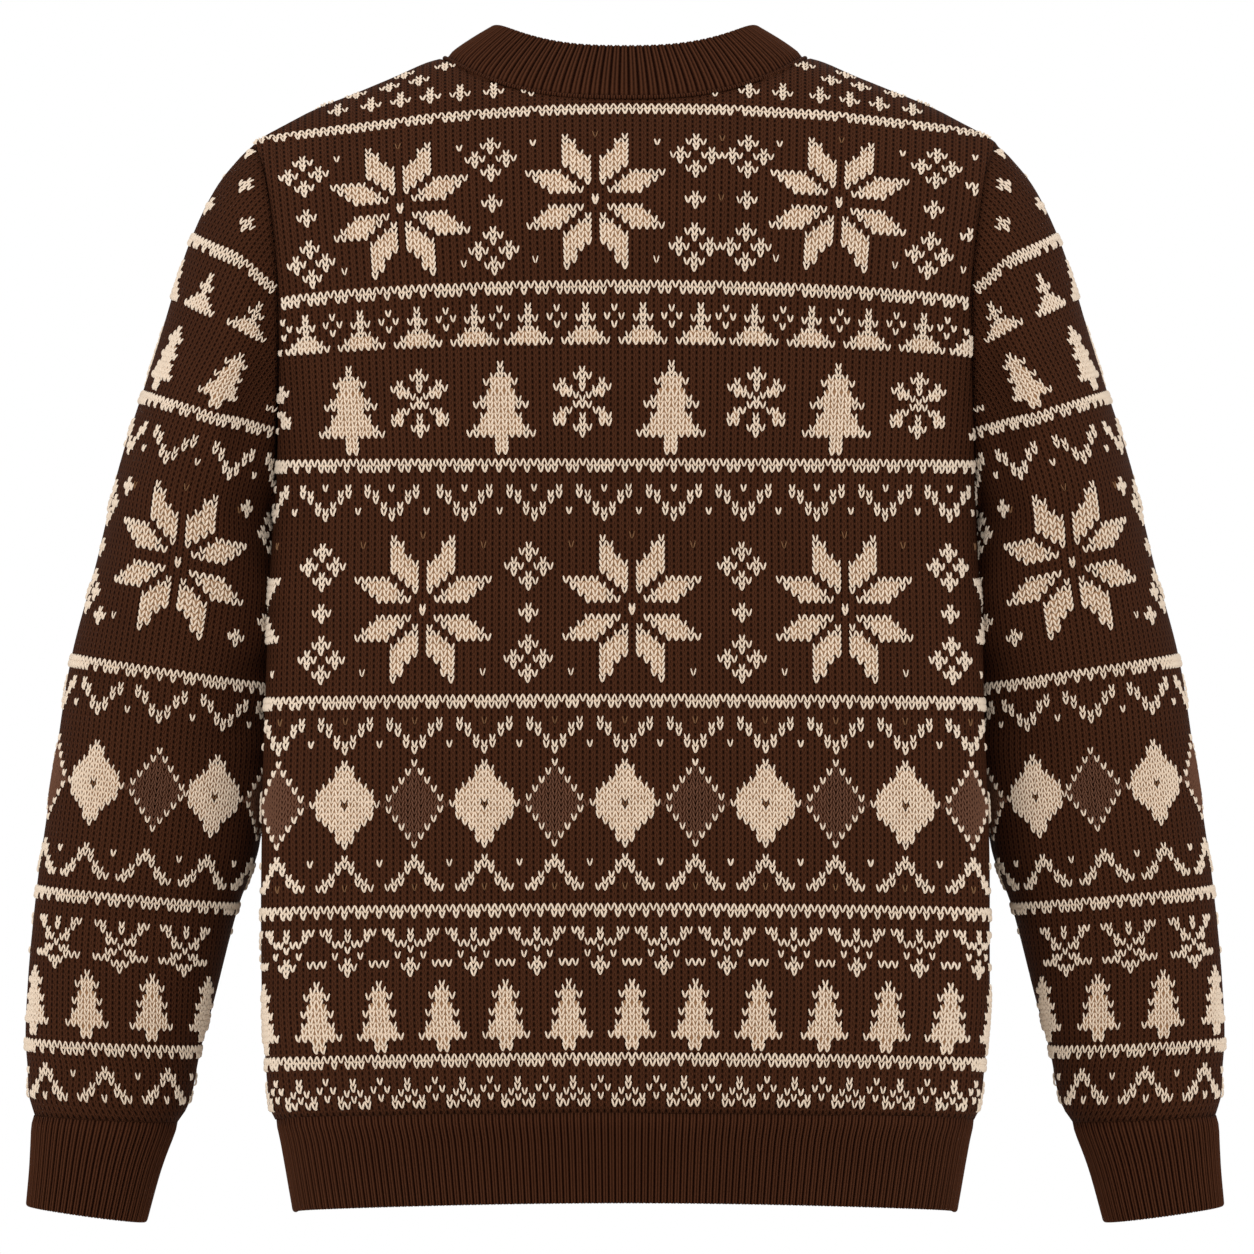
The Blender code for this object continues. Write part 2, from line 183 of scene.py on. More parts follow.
def ovalGirth(steps=600):
    # shares of a quarter of the girth, with the oval's x and y there
    angle = np.linspace(0.0, math.pi / 2, steps)
    x = np.sin(angle) ** (2 / body["squareness"])
    y = np.clip(np.cos(angle), 0, 1) ** (2 / body["squareness"])
    length = arcLength(np.stack((x, y * body["flatness"]), axis=-1))
    return length / length[-1], x, y


girthShare, girthX, girthY = ovalGirth()


def ridgeHeight(x):
    return smooth(shoulderTable, "height", np.abs(x))


def acrossTrunk(girth, height):
    return smooth(trunkTable, "halfWidth", height) * np.interp(np.abs(girth), girthShare, girthX)


def foldDepth(name, girth, height):
    depth = np.zeros(np.broadcast(girth, height).shape)
    for middle, level, lean, halfLength, halfWidth, deep in bodyFolds[name]:
        across = (girth - middle) * body["halfGirth"] - lean * (height - level)
        along = (height - level) / halfLength
        depth += deep * np.exp(-((across / halfWidth) ** 2)) * np.exp(-(along**2))
    return depth * (1 - girth**6)


def trunk(name, girth, height):
    # the body's outer face at a signed share of the half girth
    x = np.sign(girth) * acrossTrunk(girth, height)
    below = np.clip((ridgeHeight(x) - height) / body["shoulderRound"][name], 0.0, 1.0)
    reach = smooth(trunkTable, name, height) * np.sqrt(1 - (1 - below) ** 2)
    out = reach * np.interp(np.abs(girth), girthShare, girthY)
    y = body["side"][name] * (out - foldDepth(name, girth, height))
    share = np.interp(np.abs(girth), girthShare, girthX)
    x = x - np.sign(girth) * smooth(trunkTable, "pressedIn", height) * share ** body["pressedOver"]
    return np.stack(np.broadcast_arrays(x, y, height), axis=-1)


def girthAt(x, height):
    share = np.clip(np.abs(x) / smooth(trunkTable, "halfWidth", height), 0.0, 1.0)
    return np.sign(x) * np.interp(share, girthX, girthShare)


def sag(height, girth):
    return body["hemSag"] * np.clip((body["sagFrom"] - height) / body["sagOver"], 0.0, 1.0) * girth**2


tipHeight = float(smooth(shoulderTable, "height", body["shoulderHalfWidth"]))
tipGirth = float(girthAt(body["shoulderHalfWidth"], tipHeight))


def armholeEdge(step):
    # from the underarm, step 0, up to the shoulder tip, step 1
    angle = math.pi * (1 - step)
    upper = (1 + np.cos(angle)) / 2
    girth = upper * tipGirth + (1 - upper) - body["armholeCut"] * np.sin(angle)
    return girth, body["underarm"] + (tipHeight - body["underarm"]) * upper


def armholeGirth(height):
    upper = np.clip((height - body["underarm"]) / (tipHeight - body["underarm"]), 0.0, 1.0)
    return upper * tipGirth + (1 - upper) - body["armholeCut"] * 2 * np.sqrt(upper * (1 - upper))


def topEdge(name, girth):
    # the neck seam in the middle and the shoulder seams beside it
    width = acrossTrunk(girth, 0.0)
    height = ridgeHeight(width)
    for _ in range(body["searches"]):
        width = acrossTrunk(girth, height)
        height = ridgeHeight(width)
    inside = 1 - np.minimum(width / body["neckHalfWidth"], 1.0) ** body["neckRoundness"][name]
    corner = ridgeHeight(body["neckHalfWidth"])
    neckline = corner - (body["neckDrop"][name] + corner) * inside
    return np.where(width < body["neckHalfWidth"], neckline, height)


def sleevePoint(along, turn):
    # the right sleeve as a plain tube; turn is 0 at the outer fold and grows towards the back
    tilt = np.radians(smooth(sleeveTable, "tilt", along))
    inwards = smooth(sleeveTable, "halfWidth", along) * (1 - np.cos(turn))
    x = smooth(sleeveTable, "outerX", along) - inwards * np.cos(tilt)
    z = smooth(sleeveTable, "outerZ", along) - inwards * np.sin(tilt)
    y = smooth(sleeveTable, "forward", along) - smooth(sleeveTable, "halfDepth", along) * np.sin(turn)
    return np.stack(np.broadcast_arrays(x, y, z), axis=-1)


def armholeAt(turn):
    # the armhole seam at a turn round the sleeve, -pi to pi
    girth, height = armholeEdge(1 - np.abs(turn) / math.pi)
    back, front = trunk("back", girth, height), trunk("front", girth, height)
    return np.where((turn >= 0)[..., None], back, front)


def lookUp(table, i, j):
    # a table's value between its rows and columns
    i = np.clip(i, 0, table.shape[0] - 1.0001)
    j = np.clip(j, 0, table.shape[1] - 1.0001)
    a, b = i.astype(int), j.astype(int)
    u, v = i - a, j - b
    if table.ndim == 3:
        u, v = u[..., None], v[..., None]
    upper = table[a, b] * (1 - v) + table[a, b + 1] * v
    lower = table[a + 1, b] * (1 - v) + table[a + 1, b + 1] * v
    return upper * (1 - u) + lower * u


def unit(vectors):
    return vectors / np.maximum(np.linalg.norm(vectors, axis=-1, keepdims=True), 1e-9)


def facing(points, closed=False):
    # directions square to a grid of points, as a right hand turns from its rows to its columns
    if closed:
        points = np.concatenate((points[:, -2:-1], points, points[:, 1:2]), axis=1)
    along = np.gradient(points, axis=0)
    across = np.gradient(points, axis=1)
    if closed:
        along, across = along[:, 1:-1], across[:, 1:-1]
    return unit(np.cross(across, along))


# Every piece is mapped by stitches: wales count across from its middle, courses up from its rib.
knit = {
    "wales": 52.6,              # as many of the middle's wales as half the body is wide
    "sideWidest": 1.55,         # wales keep their width as seen from the back, up to this much wider
    "course": 0.00352,
    "level": -0.2485,           # height of the level course on the body, and its number
    "levelCourse": 112.0,
    "droop": 0.0136,            # courses near the shoulders hang this much lower at the sides
    "droopOver": 0.107,
    "sleeveWale": 0.0041,
    "sleeveMiddle": 21.0,       # wales from the outer fold to the line that faces the back
    "capBlend": 0.085,
    "seamDip": 0.0017,          # cloth is drawn in along its seams
    "pressed": 0.0024,          # under the armhole the sleeve is pushed this far to the body
    "pressedBelow": 0.024,
    "pressedSeam": 0.3,         # the sleeves' own seams lie flatter, pressed to the body
    "seamDipWidth": 0.0042,
    "sleeveRadius": 0.055,      # turns in metres, for seams and folds, and for the ripples
    "rippleRadius": 0.05,
    "coreBend": 0.6,            # the sleeve's middle line bends with its cap by this share
    "ripple": 0.0007,           # the cloth never lies quite even: waves across, up, phase and share
    "waves": ((31, 17, 1.0, 1.0), (-23, 41, 2.1, 1.0), (67, -53, 3.7, 0.6)),
    "thickness": 0.0024,
}
clothMap = {                    # how finely the cloth is mapped by stitches
    "wales": 255,
    "lifts": 801,
    "belowHem": 0.01,
    "along": (-0.012, 0.63),
    "rows": 430,
    "turns": 361,
    "lastWale": 72.0,
    "waleStep": 0.5,
    "courseStep": 0.25,
    "firstCourse": -3.0,
    "topCourse": {"body": 212, "sleeve": 178},
    "judged": 200,              # the step that tells which way the cloth faces
}

# Soft creases of the right sleeve: turn and place along it, lean, half length, half width, depth
sleeveFolds = (
    (2.75, 0.300, 0.50, 0.050, 0.013, 0.0042),
    (2.55, 0.262, 0.62, 0.042, 0.012, 0.0032),
    (-2.60, 0.290, -0.45, 0.052, 0.013, 0.0040),
    (-2.20, 0.245, -0.60, 0.040, 0.012, 0.0028),
    (0.95, 0.028, 0.10, 0.035, 0.012, 0.0024),
    (2.20, 0.022, -0.12, 0.034, 0.013, 0.0026),
    (-0.80, 0.026, 0.08, 0.036, 0.012, 0.0026),
    (-2.00, 0.024, -0.10, 0.034, 0.013, 0.0024),
    (2.30, 0.395, 0.30, 0.060, 0.018, 0.0035),
    (-1.90, 0.405, -0.30, 0.060, 0.018, 0.0035),
)


def countWales():
    wide = np.diff(girthX)
    around = np.hypot(wide, np.diff(girthY) * body["flatness"])
    return knit["wales"] * np.concatenate(([0.0], np.cumsum(np.maximum(wide, around / knit["sideWidest"]))))


girthWales = countWales()


def waleAt(girth):
    girth = np.asarray(girth, float)
    return np.sign(girth) * np.interp(np.abs(girth), girthShare, girthWales)


sideWale = float(waleAt(1.0))


def girthOf(wale):
    shares = np.linspace(-1, 1, 801)
    return np.interp(wale, waleAt(shares), shares)


def dipAt(distance):
    return knit["seamDip"] * np.exp(-((distance / knit["seamDipWidth"]) ** 2))


def rippleAt(a, b, phase):
    # slow unevenness over the cloth, a and b in metres across and up
    total = 0
    for across, up, shift, share in knit["waves"]:
        total = total + share * np.sin(a * across + b * up + shift * phase)
    return knit["ripple"] / 2 * total


def panelSurface(name, girth, height, toTop):
    # the outer face with its seams drawn in; toTop is the distance to the neck or shoulder seam
    points = trunk(name, girth, height)
    x, z = points[..., 0], points[..., 2]
    coreTop = ridgeHeight(x) - body["coreDrop"]
    core = np.stack((x * body["coreWidth"], 0 * x, np.minimum(z, coreTop)), axis=-1)
    toSide = (armholeGirth(z) - np.abs(girth)) * body["halfGirth"]
    toHem = z - body["hemSeam"] + sag(body["hemSeam"], girth)
    near = np.minimum(np.minimum(np.abs(toSide), np.abs(toTop)), np.abs(toHem))
    depth = dipAt(near) + rippleAt(girth * body["halfGirth"], z, 1.0 + body["side"][name])
    return points + unit(core - points) * depth[..., None]


def coursesUpTo(top):
    count = int((top - clothMap["firstCourse"]) / clothMap["courseStep"])
    return clothMap["firstCourse"] + clothMap["courseStep"] * np.arange(count)


def towards(normals, side):
    # turns all directions to one side of Y, judged by one in the middle of the cloth
    return normals * (np.sign(normals[(len(normals) - 1) // 2, clothMap["judged"], 1]) * side)


def panelCloth(name):
    # maps a panel: points and outward directions for its wales and courses
    wales = np.linspace(-sideWale, sideWale, clothMap["wales"])
    girths = girthOf(wales)
    lifts = np.linspace(0, 2, clothMap["lifts"])
    rounding = 1 - np.sin(np.clip(lifts - 1, 0, 1) * math.pi / 2)
    bottom = body["hemEdge"] - clothMap["belowHem"]
    height = np.zeros((len(girths), len(lifts)))
    for _ in range(body["searches"]):
        ridge = ridgeHeight(acrossTrunk(girths[:, None], height))
        low = ridge - body["shoulderRound"][name]
        straight = bottom + (low - bottom) * np.minimum(lifts, 1)
        height = np.where(lifts < 1, straight, ridge - body["shoulderRound"][name] * rounding)
    length = arcLength(trunk(name, girths[:, None], height))
    courses = coursesUpTo(clothMap["topCourse"]["body"])
    tops = topEdge(name, girths)
    heights = np.zeros((len(girths), len(courses)))
    toTop = np.zeros(heights.shape)
    counts = np.zeros(height.shape)
    last = np.zeros(len(girths))
    for i, girth in enumerate(girths):
        zero = np.interp(knit["level"], height[i], length[i])
        start = np.interp(body["hemSeam"] - sag(body["hemSeam"], girth), height[i], length[i])
        up = length[i] - zero
        droop = knit["droop"] * girth**2 * easeIn(np.clip(up / knit["droopOver"], 0, 1))
        below = knit["levelCourse"] * (1 + up / (zero - start))
        above = knit["levelCourse"] + (up + droop) / knit["course"]
        counts[i] = np.where(up < 0, below, above)
        heights[i] = np.interp(courses, counts[i], height[i])
        last[i] = np.interp(tops[i], height[i], counts[i])
        toTop[i] = (last[i] - courses) * knit["course"]
    table = panelSurface(name, girths[:, None], heights, toTop)
    cloth = {"table": table, "normals": towards(facing(table), body["side"][name])}
    cloth.update(heights=heights, last=last, counts=counts, height=height)
    cloth.update(wales=wales, firstWale=wales[0], waleStep=wales[1] - wales[0])
    return cloth


def seamShift(turn):
    # how far the panels' edges are drawn in at the armhole
    girth, height = armholeEdge(1 - np.abs(turn) / math.pi)
    back, front = (
        panelSurface(name, girth, height, 0.0) - trunk(name, girth, height) for name in ("back", "front")
    )
    return np.where((turn >= 0)[..., None], back, front)


def sleeveSurface(alongs, turns, loop, ends):
    # the right sleeve's outer face, its cap bent to the armhole and its seams drawn in
    fade = easeIn(np.clip(1 - (ends - alongs) / knit["capBlend"], 0.0, 1.0))
    bend = (loop - sleevePoint(ends, turns)) * fade[..., None]
    points = sleevePoint(alongs, turns) + bend
    middle = (sleevePoint(alongs, 0 * turns) + sleevePoint(alongs, 0 * turns + math.pi)) / 2
    middle = middle + bend * knit["coreBend"]
    toSeam = (math.pi - np.abs(turns)) * knit["sleeveRadius"]
    depth = np.maximum(dipAt(toSeam) * knit["pressedSeam"], dipAt(alongs))
    depth = depth + rippleAt(turns * knit["rippleRadius"], alongs, 0.4) * np.cos(turns / 2) ** 0.5
    for turn, along, lean, halfLength, halfWidth, deep in sleeveFolds:
        across = (turns - turn) * knit["sleeveRadius"]
        offset = alongs - along - lean * across
        depth = depth + deep * np.exp(-((offset / halfWidth) ** 2) - (across / halfLength) ** 2)
    under = (ends - alongs - knit["pressedBelow"]) / knit["pressedBelow"]
    depth = depth - knit["pressed"] * np.exp(-(under**2)) * np.clip(-np.cos(turns), 0, 1) ** 4
    # at the armhole it is drawn in just as the panels are, so the edges stay together
    atSeam = np.exp(-(((ends - alongs) / knit["seamDipWidth"]) ** 2))[..., None]
    drawn = unit(middle - points) * depth[..., None]
    return points + drawn * (1 - atSeam) + seamShift(turns) * atSeam


def sleeveCloth():
    # maps the right sleeve; wales count from the line of it that faces the back
    alongs = np.linspace(*clothMap["along"], clothMap["rows"])[:, None]
    turns = np.linspace(-math.pi, math.pi, clothMap["turns"])[None, :]
    loop = armholeAt(turns[0])
    ends = smooth(capTable, "along", loop[:, 2])
    points = sleeveSurface(alongs, turns, loop[None], ends[None])
    arc = arcLength(points)
    fold = clothMap["turns"] // 2
    arc = (arc - arc[:, fold : fold + 1]) / knit["sleeveWale"] - knit["sleeveMiddle"]
    courses = coursesUpTo(clothMap["topCourse"]["sleeve"])
    rows = np.interp(courses * knit["course"], alongs[:, 0], np.arange(len(alongs)))
    wales = np.arange(-clothMap["lastWale"], clothMap["lastWale"] + 1, clothMap["waleStep"])
    steps = np.arange(float(clothMap["turns"]))
    places = np.zeros((len(wales), len(courses)))
    for j, row in enumerate(rows):
        places[:, j] = np.interp(wales, lookUp(arc, np.full(len(steps), row), steps), steps)
    rows = rows[None, :] + 0 * places
    table = lookUp(points, rows, places)
    cloth = {"table": table, "normals": towards(facing(table), -1.0), "places": places}
    cloth["toEnd"] = lookUp(ends[None, :] - alongs, rows, places)
    cloth.update(firstWale=wales[0], waleStep=clothMap["waleStep"])
    cloth.update(arc=arc, alongs=alongs[:, 0], turns=turns[0])
    return cloth


def onCloth(cloth, what, wale, course):
    i = (wale - cloth["firstWale"]) / cloth["waleStep"]
    j = (course - clothMap["firstCourse"]) / clothMap["courseStep"]
    return lookUp(cloth[what], i, j)


# A mark is a stitch of light yarn, and a chart's lines run from its top course down.
charts = {
    "emblem": "..#..|..#..|.#.#.|#.#.#|##.##",
    "fork": "##..#..##|.#..#..#.|..##.##..|....#....|..#...#..|....#....|...###...|....#....",
    "flake": "##..#..##|.#..#..#.|..#...#..|..##.##..|....#....|..##.##..|###...###|...###...|....#....",
    "peaks": "....#....|...###...|...#.#...|..#...#..|.##...##.|##.....##",
    "valleys": "#.....#|##...##|.#...#.|..#.#..|..###..|...#...",
    "snowflake": (
        "....#....|...###...|.#..#..#.|##..#..##|.##...##.|....#...."
        "|...###...|.##...##.|##..#..##|##..#..##|...###...|....#...."
    ),
    "bud": "...#...|...#...|..###..|...#...|..###..|.#####.|#######",
    "cross": ".#.|###|.#.",
    "tallCross": ".#.|.#.|###|.#.",
    "twinkle": "#",
    "three": "###",
    "pair": "#.#",
}

# Widths of the trees' courses, top first
trees = {
    "smallTree": (1, 2, 4, 2, 3, 5, 3, 5, 5, 7, 2, 2),
    "bigTree": (1, 1, 3, 5, 3, 4, 6, 8, 4, 6, 6, 8, 10, 2, 2, 2),
}
# Some charts' columns stand closer or wider than the wales
spreads = {"fork": 0.92, "flake": 0.95, "peaks": 0.95, "valleys": 1.18, "snowflake": 0.92}


def place(figure, chart, wale, course, yarn="cream"):
    # draws a chart with its middle on a wale and its lowest line on a course
    if chart in trees:
        lines = ["#" * width for width in trees[chart]]
    else:
        lines = charts[chart].split("|")
    for up, line in enumerate(reversed(lines)):
        for across, mark in enumerate(line):
            if mark == "#":
                out = (across - (len(line) - 1) / 2) * spreads.get(chart, 1.0)
                figure[(wale + out, course + up)] = yarn


def repeats(first, period, reach):
    # wales on which a repeat stands, to both sides and a little past the reach
    count = int(reach / period) + 2
    return [first + k * period for k in range(-count, count + 1)]


def placeRow(figure, chart, first, period, course, reach=70, yarn="cream"):
    # a row of one chart, each on the nearest half wale
    for middle in repeats(first, period, reach):
        place(figure, chart, round(2 * middle) / 2, course, yarn)


def placeDots(figure, first, period, course):
    # small diamonds of four single stitches
    placeRow(figure, "twinkle", first, period, course)
    placeRow(figure, "pair", first, period, course + 1.45)
    placeRow(figure, "twinkle", first, period, course + 2.9)


def placeSnowflake(figure, wale, course):
    # its chart, and the slanting tips that lie between whole stitches
    place(figure, "snowflake", wale, course)
    for out, up in ((0.92, 6.6), (1.84, 7.7)):
        for a in (-1, 1):
            figure[(wale + a * out, course + up)] = "cream"


def placeStar(figure, wale, course, stretch=1.0, spread=1.0, corner="cream"):
    # an eight-pointed star of eight petals, 19 wales by 23 courses; each column's first and last course
    upright = {1: (3, 7), 2: (4, 8), 3: (5, 10), 4: (6, 11)}
    level = {2: (1, 1), 3: (1, 2), 4: (1, 3), 5: (1, 4), 6: (1, 4), 7: (2, 4), 8: (3, 4), 9: (4, 4)}
    for petal, lift in ((upright, 0.0), (level, 0.5)):
        for across, (low, high) in petal.items():
            for up in range(low, high + 1):
                for a, b in ((1, 1), (1, -1), (-1, 1), (-1, -1)):
                    figure[(wale + a * spread * across, course + b * stretch * (up + lift))] = "cream"
    for up in (0.2, -0.4):
        figure[(wale, course + up)] = "cream"
    for a in (-1, 1):
        for b, yarn in ((1, corner), (-1, "thinCream")):
            figure[(wale + 8.3 * spread * a, course + 10 * stretch * b)] = yarn
    figure[(wale, course + 11.5 * stretch)] = "tan"


def placeCrosses(figure, wale, course, stretch=1.0):
    # a column of small crosses: two groups of four and one between
    for middle in (-8, 8):
        for across, up in ((0, 2.5), (0, -2.5), (2.1, 0), (-2.1, 0)):
            place(figure, "cross", wale + across, course + stretch * (middle + up) - 1)
    place(figure, "cross", wale, course - 1)


def placeDiamonds(figure, first, period, course, reach=70):
    # filled light diamonds, and outlined ones filled with grey-brown between them
    filled = (7, 6, 4, 3, 2, 0)                 # half heights of their columns, from the middle out
    outlined = (7, 5.5, 4, 2.5, 1, 0)
    for middle in repeats(first, period, reach):
        wale, between = round(middle), round(middle + period / 2)
        for across in range(-5, 6):
            out = 0.92 * across
            high, edge = filled[abs(across)], outlined[abs(across)]
            for up in range(-high, high + 1):
                figure[(wale + out, course + up)] = "cream"
            for step in range(int(2 * edge) + 1):
                up = step - edge
                yarn = "cream" if abs(up) == edge and edge else "grey"
                figure[(between + out, course + up)] = yarn
        figure[(wale, course)] = "tan"


def placeStripe(figure, course, bare, seed, reach=80, lean=0.0):
    # a full course over one that misses some stitches, never two together
    rng = np.random.default_rng(seed)
    missed = True
    for wale in range(-reach, reach + 1):
        level = course + lean * wale
        figure[(wale, level + 1)] = "cream"
        missed = not missed and rng.random() < bare
        if not missed:
            figure[(wale, level)] = "cream"


def bodyFigure():
    # the body's bands from the hem up
    figure = {}
    placeRow(figure, "emblem", 0.4, 7.97, 1.45)
    placeDots(figure, 4.4, 7.97, 2.6)
    placeStripe(figure, 8.45, 0.35, 1)
    placeRow(figure, "smallTree", 1.1, 9.06, 11.2)
    placeRow(figure, "fork", -3.4, 9.06, 24.2)
    placeRow(figure, "three", 1.1, 9.06, 25.7)
    placeStripe(figure, 34.2, 0.80, 2)
    placeRow(figure, "peaks", 0, 10.05, 38.8)
    placeRow(figure, "twinkle", 5, 10.05, 43)
    placeRow(figure, "twinkle", 0, 10.05, 38.8, yarn="tan")
    placeDiamonds(figure, 0, 20.05, 53.2)
    placeRow(figure, "valleys", 0, 10.05, 62.5)
    placeRow(figure, "twinkle", 5, 10.05, 63.5)
    placeRow(figure, "twinkle", 0, 10.05, 67.5, yarn="tan")
    placeStripe(figure, 70.3, 0.45, 3)
    for wale, spread in ((-61.7, 1.16), (-29, 1.05), (1, 1.05), (31.5, 1.05), (62, 1.05)):
        placeStar(figure, wale, 86.8, 1.1, spread, "tan")
    for wale in (-44.0, -14, 16.5, 47.0):
        placeCrosses(figure, wale + 0.2, 86.1)
    placeRow(figure, "valleys", -3, 10.1, 102.6)
    placeRow(figure, "twinkle", -3, 10.1, 107.6)
    placeRow(figure, "twinkle", 2, 10.1, 103.6)
    placeStripe(figure, 111, 0.50, 4)
    for wale in (-59, -39, -17.5, 6.5, 30, 55.3):
        place(figure, "bigTree", wale, 114)
    for wale in (-52.5, -29, -6, 18.5, 41.8):
        placeSnowflake(figure, wale, 117)
    placeRow(figure, "bud", 2.4, 7.87, 133)
    placeDots(figure, 6.35, 7.87, 135.8)
    placeStripe(figure, 141.8, 0.35, 5)
    for wale in (-57.5, -30.5, -4, 29, 55.5):
        placeStar(figure, wale, 157.9 + 0.016 * wale, 1.075)
    for wale in (-43.5, -18.0, 9.5, 16.5, 42.0):
        placeCrosses(figure, wale, 157.6 + 0.016 * wale, 1.05)
    for up in (0, 11.5):
        figure[(13, 158.2 + up)] = "tan"
    placeStripe(figure, 175.1, 0.15, 6, lean=0.016)
    for wale in (-38.5, -34, -30, -26, -22, -17.5, -12.5, 12, 16.5, 21, 26, 30, 34, 38.5):
        place(figure, "tallCross", wale, 179.6)
    for course, wales in ((185, (27.5, 31.5, 36, 40.5)), (189, (24, 29.5, 37.5))):
        for wale in wales:
            place(figure, "cross", -wale, course)
            place(figure, "cross", wale, course)
    return figure


def sleeveFigure():
    # a sleeve's bands from the cuff up
    figure = {}
    placeRow(figure, "peaks", -4, 10, 3)
    placeRow(figure, "twinkle", 1, 10, 7)
    placeRow(figure, "twinkle", -4, 10, 3)
    placeStripe(figure, 11, 0.35, 11)
    placeRow(figure, "smallTree", 4, 10, 14)
    for wale in (-34.5, -25, -11.5, -1, 9, 24, 33.5):
        place(figure, "flake", wale, 26.1)
    placeStripe(figure, 38, 0.6, 12)
    placeRow(figure, "peaks", 1.5, 9.6, 42.6)
    placeRow(figure, "twinkle", 6.3, 9.6, 46.8)
    placeDiamonds(figure, -8, 19.2, 59)
    placeRow(figure, "valleys", 1.5, 10, 71.7)
    placeRow(figure, "twinkle", 6.5, 10, 72.7)
    placeStripe(figure, 79.3, 0.45, 13)
    for wale in (-35.6, 1.4, 38.4):
        placeStar(figure, wale, 100.7, 1.17, 1.16, "tan")
        for across, up in ((-11.5, 10.3), (11.3, 11.2), (-12.8, -13.2), (10.4, -13.0)):
            place(figure, "cross", wale + across, 100.7 + up)
    for wale in (-52.9, -16.3, 18.9, 55.5):
        placeCrosses(figure, wale, 100.5)
    placeRow(figure, "valleys", -3, 10.5, 118)
    placeRow(figure, "twinkle", 2, 10.5, 119)
    placeStripe(figure, 127, 0.4, 14)
    placeRow(figure, "smallTree", 1.5, 12.4, 130)
    placeRow(figure, "bud", 0.5, 9.5, 146)
    placeStripe(figure, 156, 0.4, 15)
    placeRow(figure, "cross", 2, 10, 162)
    placeRow(figure, "cross", 7, 10, 168)
    placeRow(figure, "cross", 2, 10, 174)
    return figure


def addMesh(name, points, faces, materials, uv=None, slots=None):
    # uv gives a place on the knitting for every corner of every face
    mesh = bpy.data.meshes.new(name)
    faces = np.asarray(faces, dtype=np.int32)
    corners = faces.shape[1]
    mesh.vertices.add(len(points))
    mesh.vertices.foreach_set("co", np.asarray(points, dtype=np.float32).ravel())
    mesh.loops.add(faces.size)
    mesh.loops.foreach_set("vertex_index", faces.ravel())
    mesh.polygons.add(len(faces))
    mesh.polygons.foreach_set("loop_start", np.arange(0, faces.size, corners, dtype=np.int32))
    mesh.polygons.foreach_set("loop_total", np.full(len(faces), corners, dtype=np.int32))
    for material in materials:
        mesh.materials.append(material)
    if slots is not None:
        mesh.polygons.foreach_set("material_index", np.asarray(slots, dtype=np.int32))
    mesh.update(calc_edges=True)
    if uv is not None:
        layer = mesh.uv_layers.new(name="knit")
        layer.data.foreach_set("uv", np.asarray(uv, dtype=np.float32).ravel())
    mesh.validate()
    mesh.shade_smooth()
    piece = bpy.data.objects.new(name, mesh)
    bpy.context.scene.collection.objects.link(piece)
    return piece


def gridFaces(rows, columns, wrapRows=False, wrapColumns=False):
    i = np.arange(rows if wrapRows else rows - 1)[:, None]
    j = np.arange(columns if wrapColumns else columns - 1)[None, :]
    nextRow, nextColumn = (i + 1) % rows, (j + 1) % columns
    corners = [i * columns + j, i * columns + nextColumn, nextRow * columns + nextColumn]
    corners.append(nextRow * columns + j)
    return np.stack([np.broadcast_to(c, (i.size, j.size)) for c in corners], axis=-1).reshape(-1, 4)


def faceOut(points, faces, outward):
    # turns all faces round when the first of them look against the outward directions
    a, b, c = (points[faces[: len(outward), k]] for k in (0, 1, 2))
    return faces[:, ::-1] if np.sum(np.cross(b - a, c - a) * outward) < 0 else faces


def gridPiece(name, points, uv, material, mirror):
    # an open sheet of cloth with its outer face out, thickened inwards
    rows, columns = points.shape[:2]
    if mirror:
        points = points * (-1, 1, 1)
        uv = uv * (-1, 1)
    flat = points.reshape(-1, 3)
    faces = gridFaces(rows, columns)
    faces = faceOut(flat, faces, flat[faces[:, 0]] - flat.mean(axis=0))
    piece = addMesh(name, flat, faces, [material], uv.reshape(-1, 2)[faces.ravel()])
    shell = piece.modifiers.new("thickness", "SOLIDIFY")
    shell.thickness = knit["thickness"]
    shell.offset = -1.0
    return piece


# Steps of the cloths' grids: across a panel, below and beside its armholes, round and along a sleeve
sheetSteps = {"across": 121, "lower": 76, "upper": 57, "round": 117, "along": 140}


def courseAt(cloth, wale, height):
    # the course of a panel that lies at a height, between two of its mapped wales
    out = np.zeros(wale.shape)
    places = (wale - cloth["firstWale"]) / cloth["waleStep"]
    left = np.clip(places.astype(int), 0, len(cloth["wales"]) - 2)
    for index in np.unique(left):
        here = left == index
        low = np.interp(height[here], cloth["height"][index], cloth["counts"][index])
        high = np.interp(height[here], cloth["height"][index + 1], cloth["counts"][index + 1])
        share = places[here] - index
        out[here] = low * (1 - share) + high * share
    return out


def panelPiece(name, cloth, material):
    across = np.linspace(-1, 1, sheetSteps["across"])
    lower = np.linspace(body["hemSeam"], body["underarm"], sheetSteps["lower"])
    girth = [across for _ in lower]
    height = [level - sag(level, across) for level in lower]
    tops = topEdge(name, across * tipGirth)
    for step in np.linspace(0, 1, sheetSteps["upper"])[1:]:
        edgeGirth, edgeHeight = armholeEdge(step)
        share = (edgeHeight - body["underarm"]) / (tipHeight - body["underarm"])
        girth.append(across * edgeGirth)
        height.append(body["underarm"] + share * (tops - body["underarm"]))
    girth, height = np.array(girth), np.array(height)
    wale = waleAt(girth)
    course = courseAt(cloth, wale, height)
    last = np.interp(wale, cloth["wales"], cloth["last"])
    points = panelSurface(name, girth, height, (last - course) * knit["course"])
    uv = np.stack((wale, course), axis=-1)
    return gridPiece(name + "Cloth", points, uv, material, False)


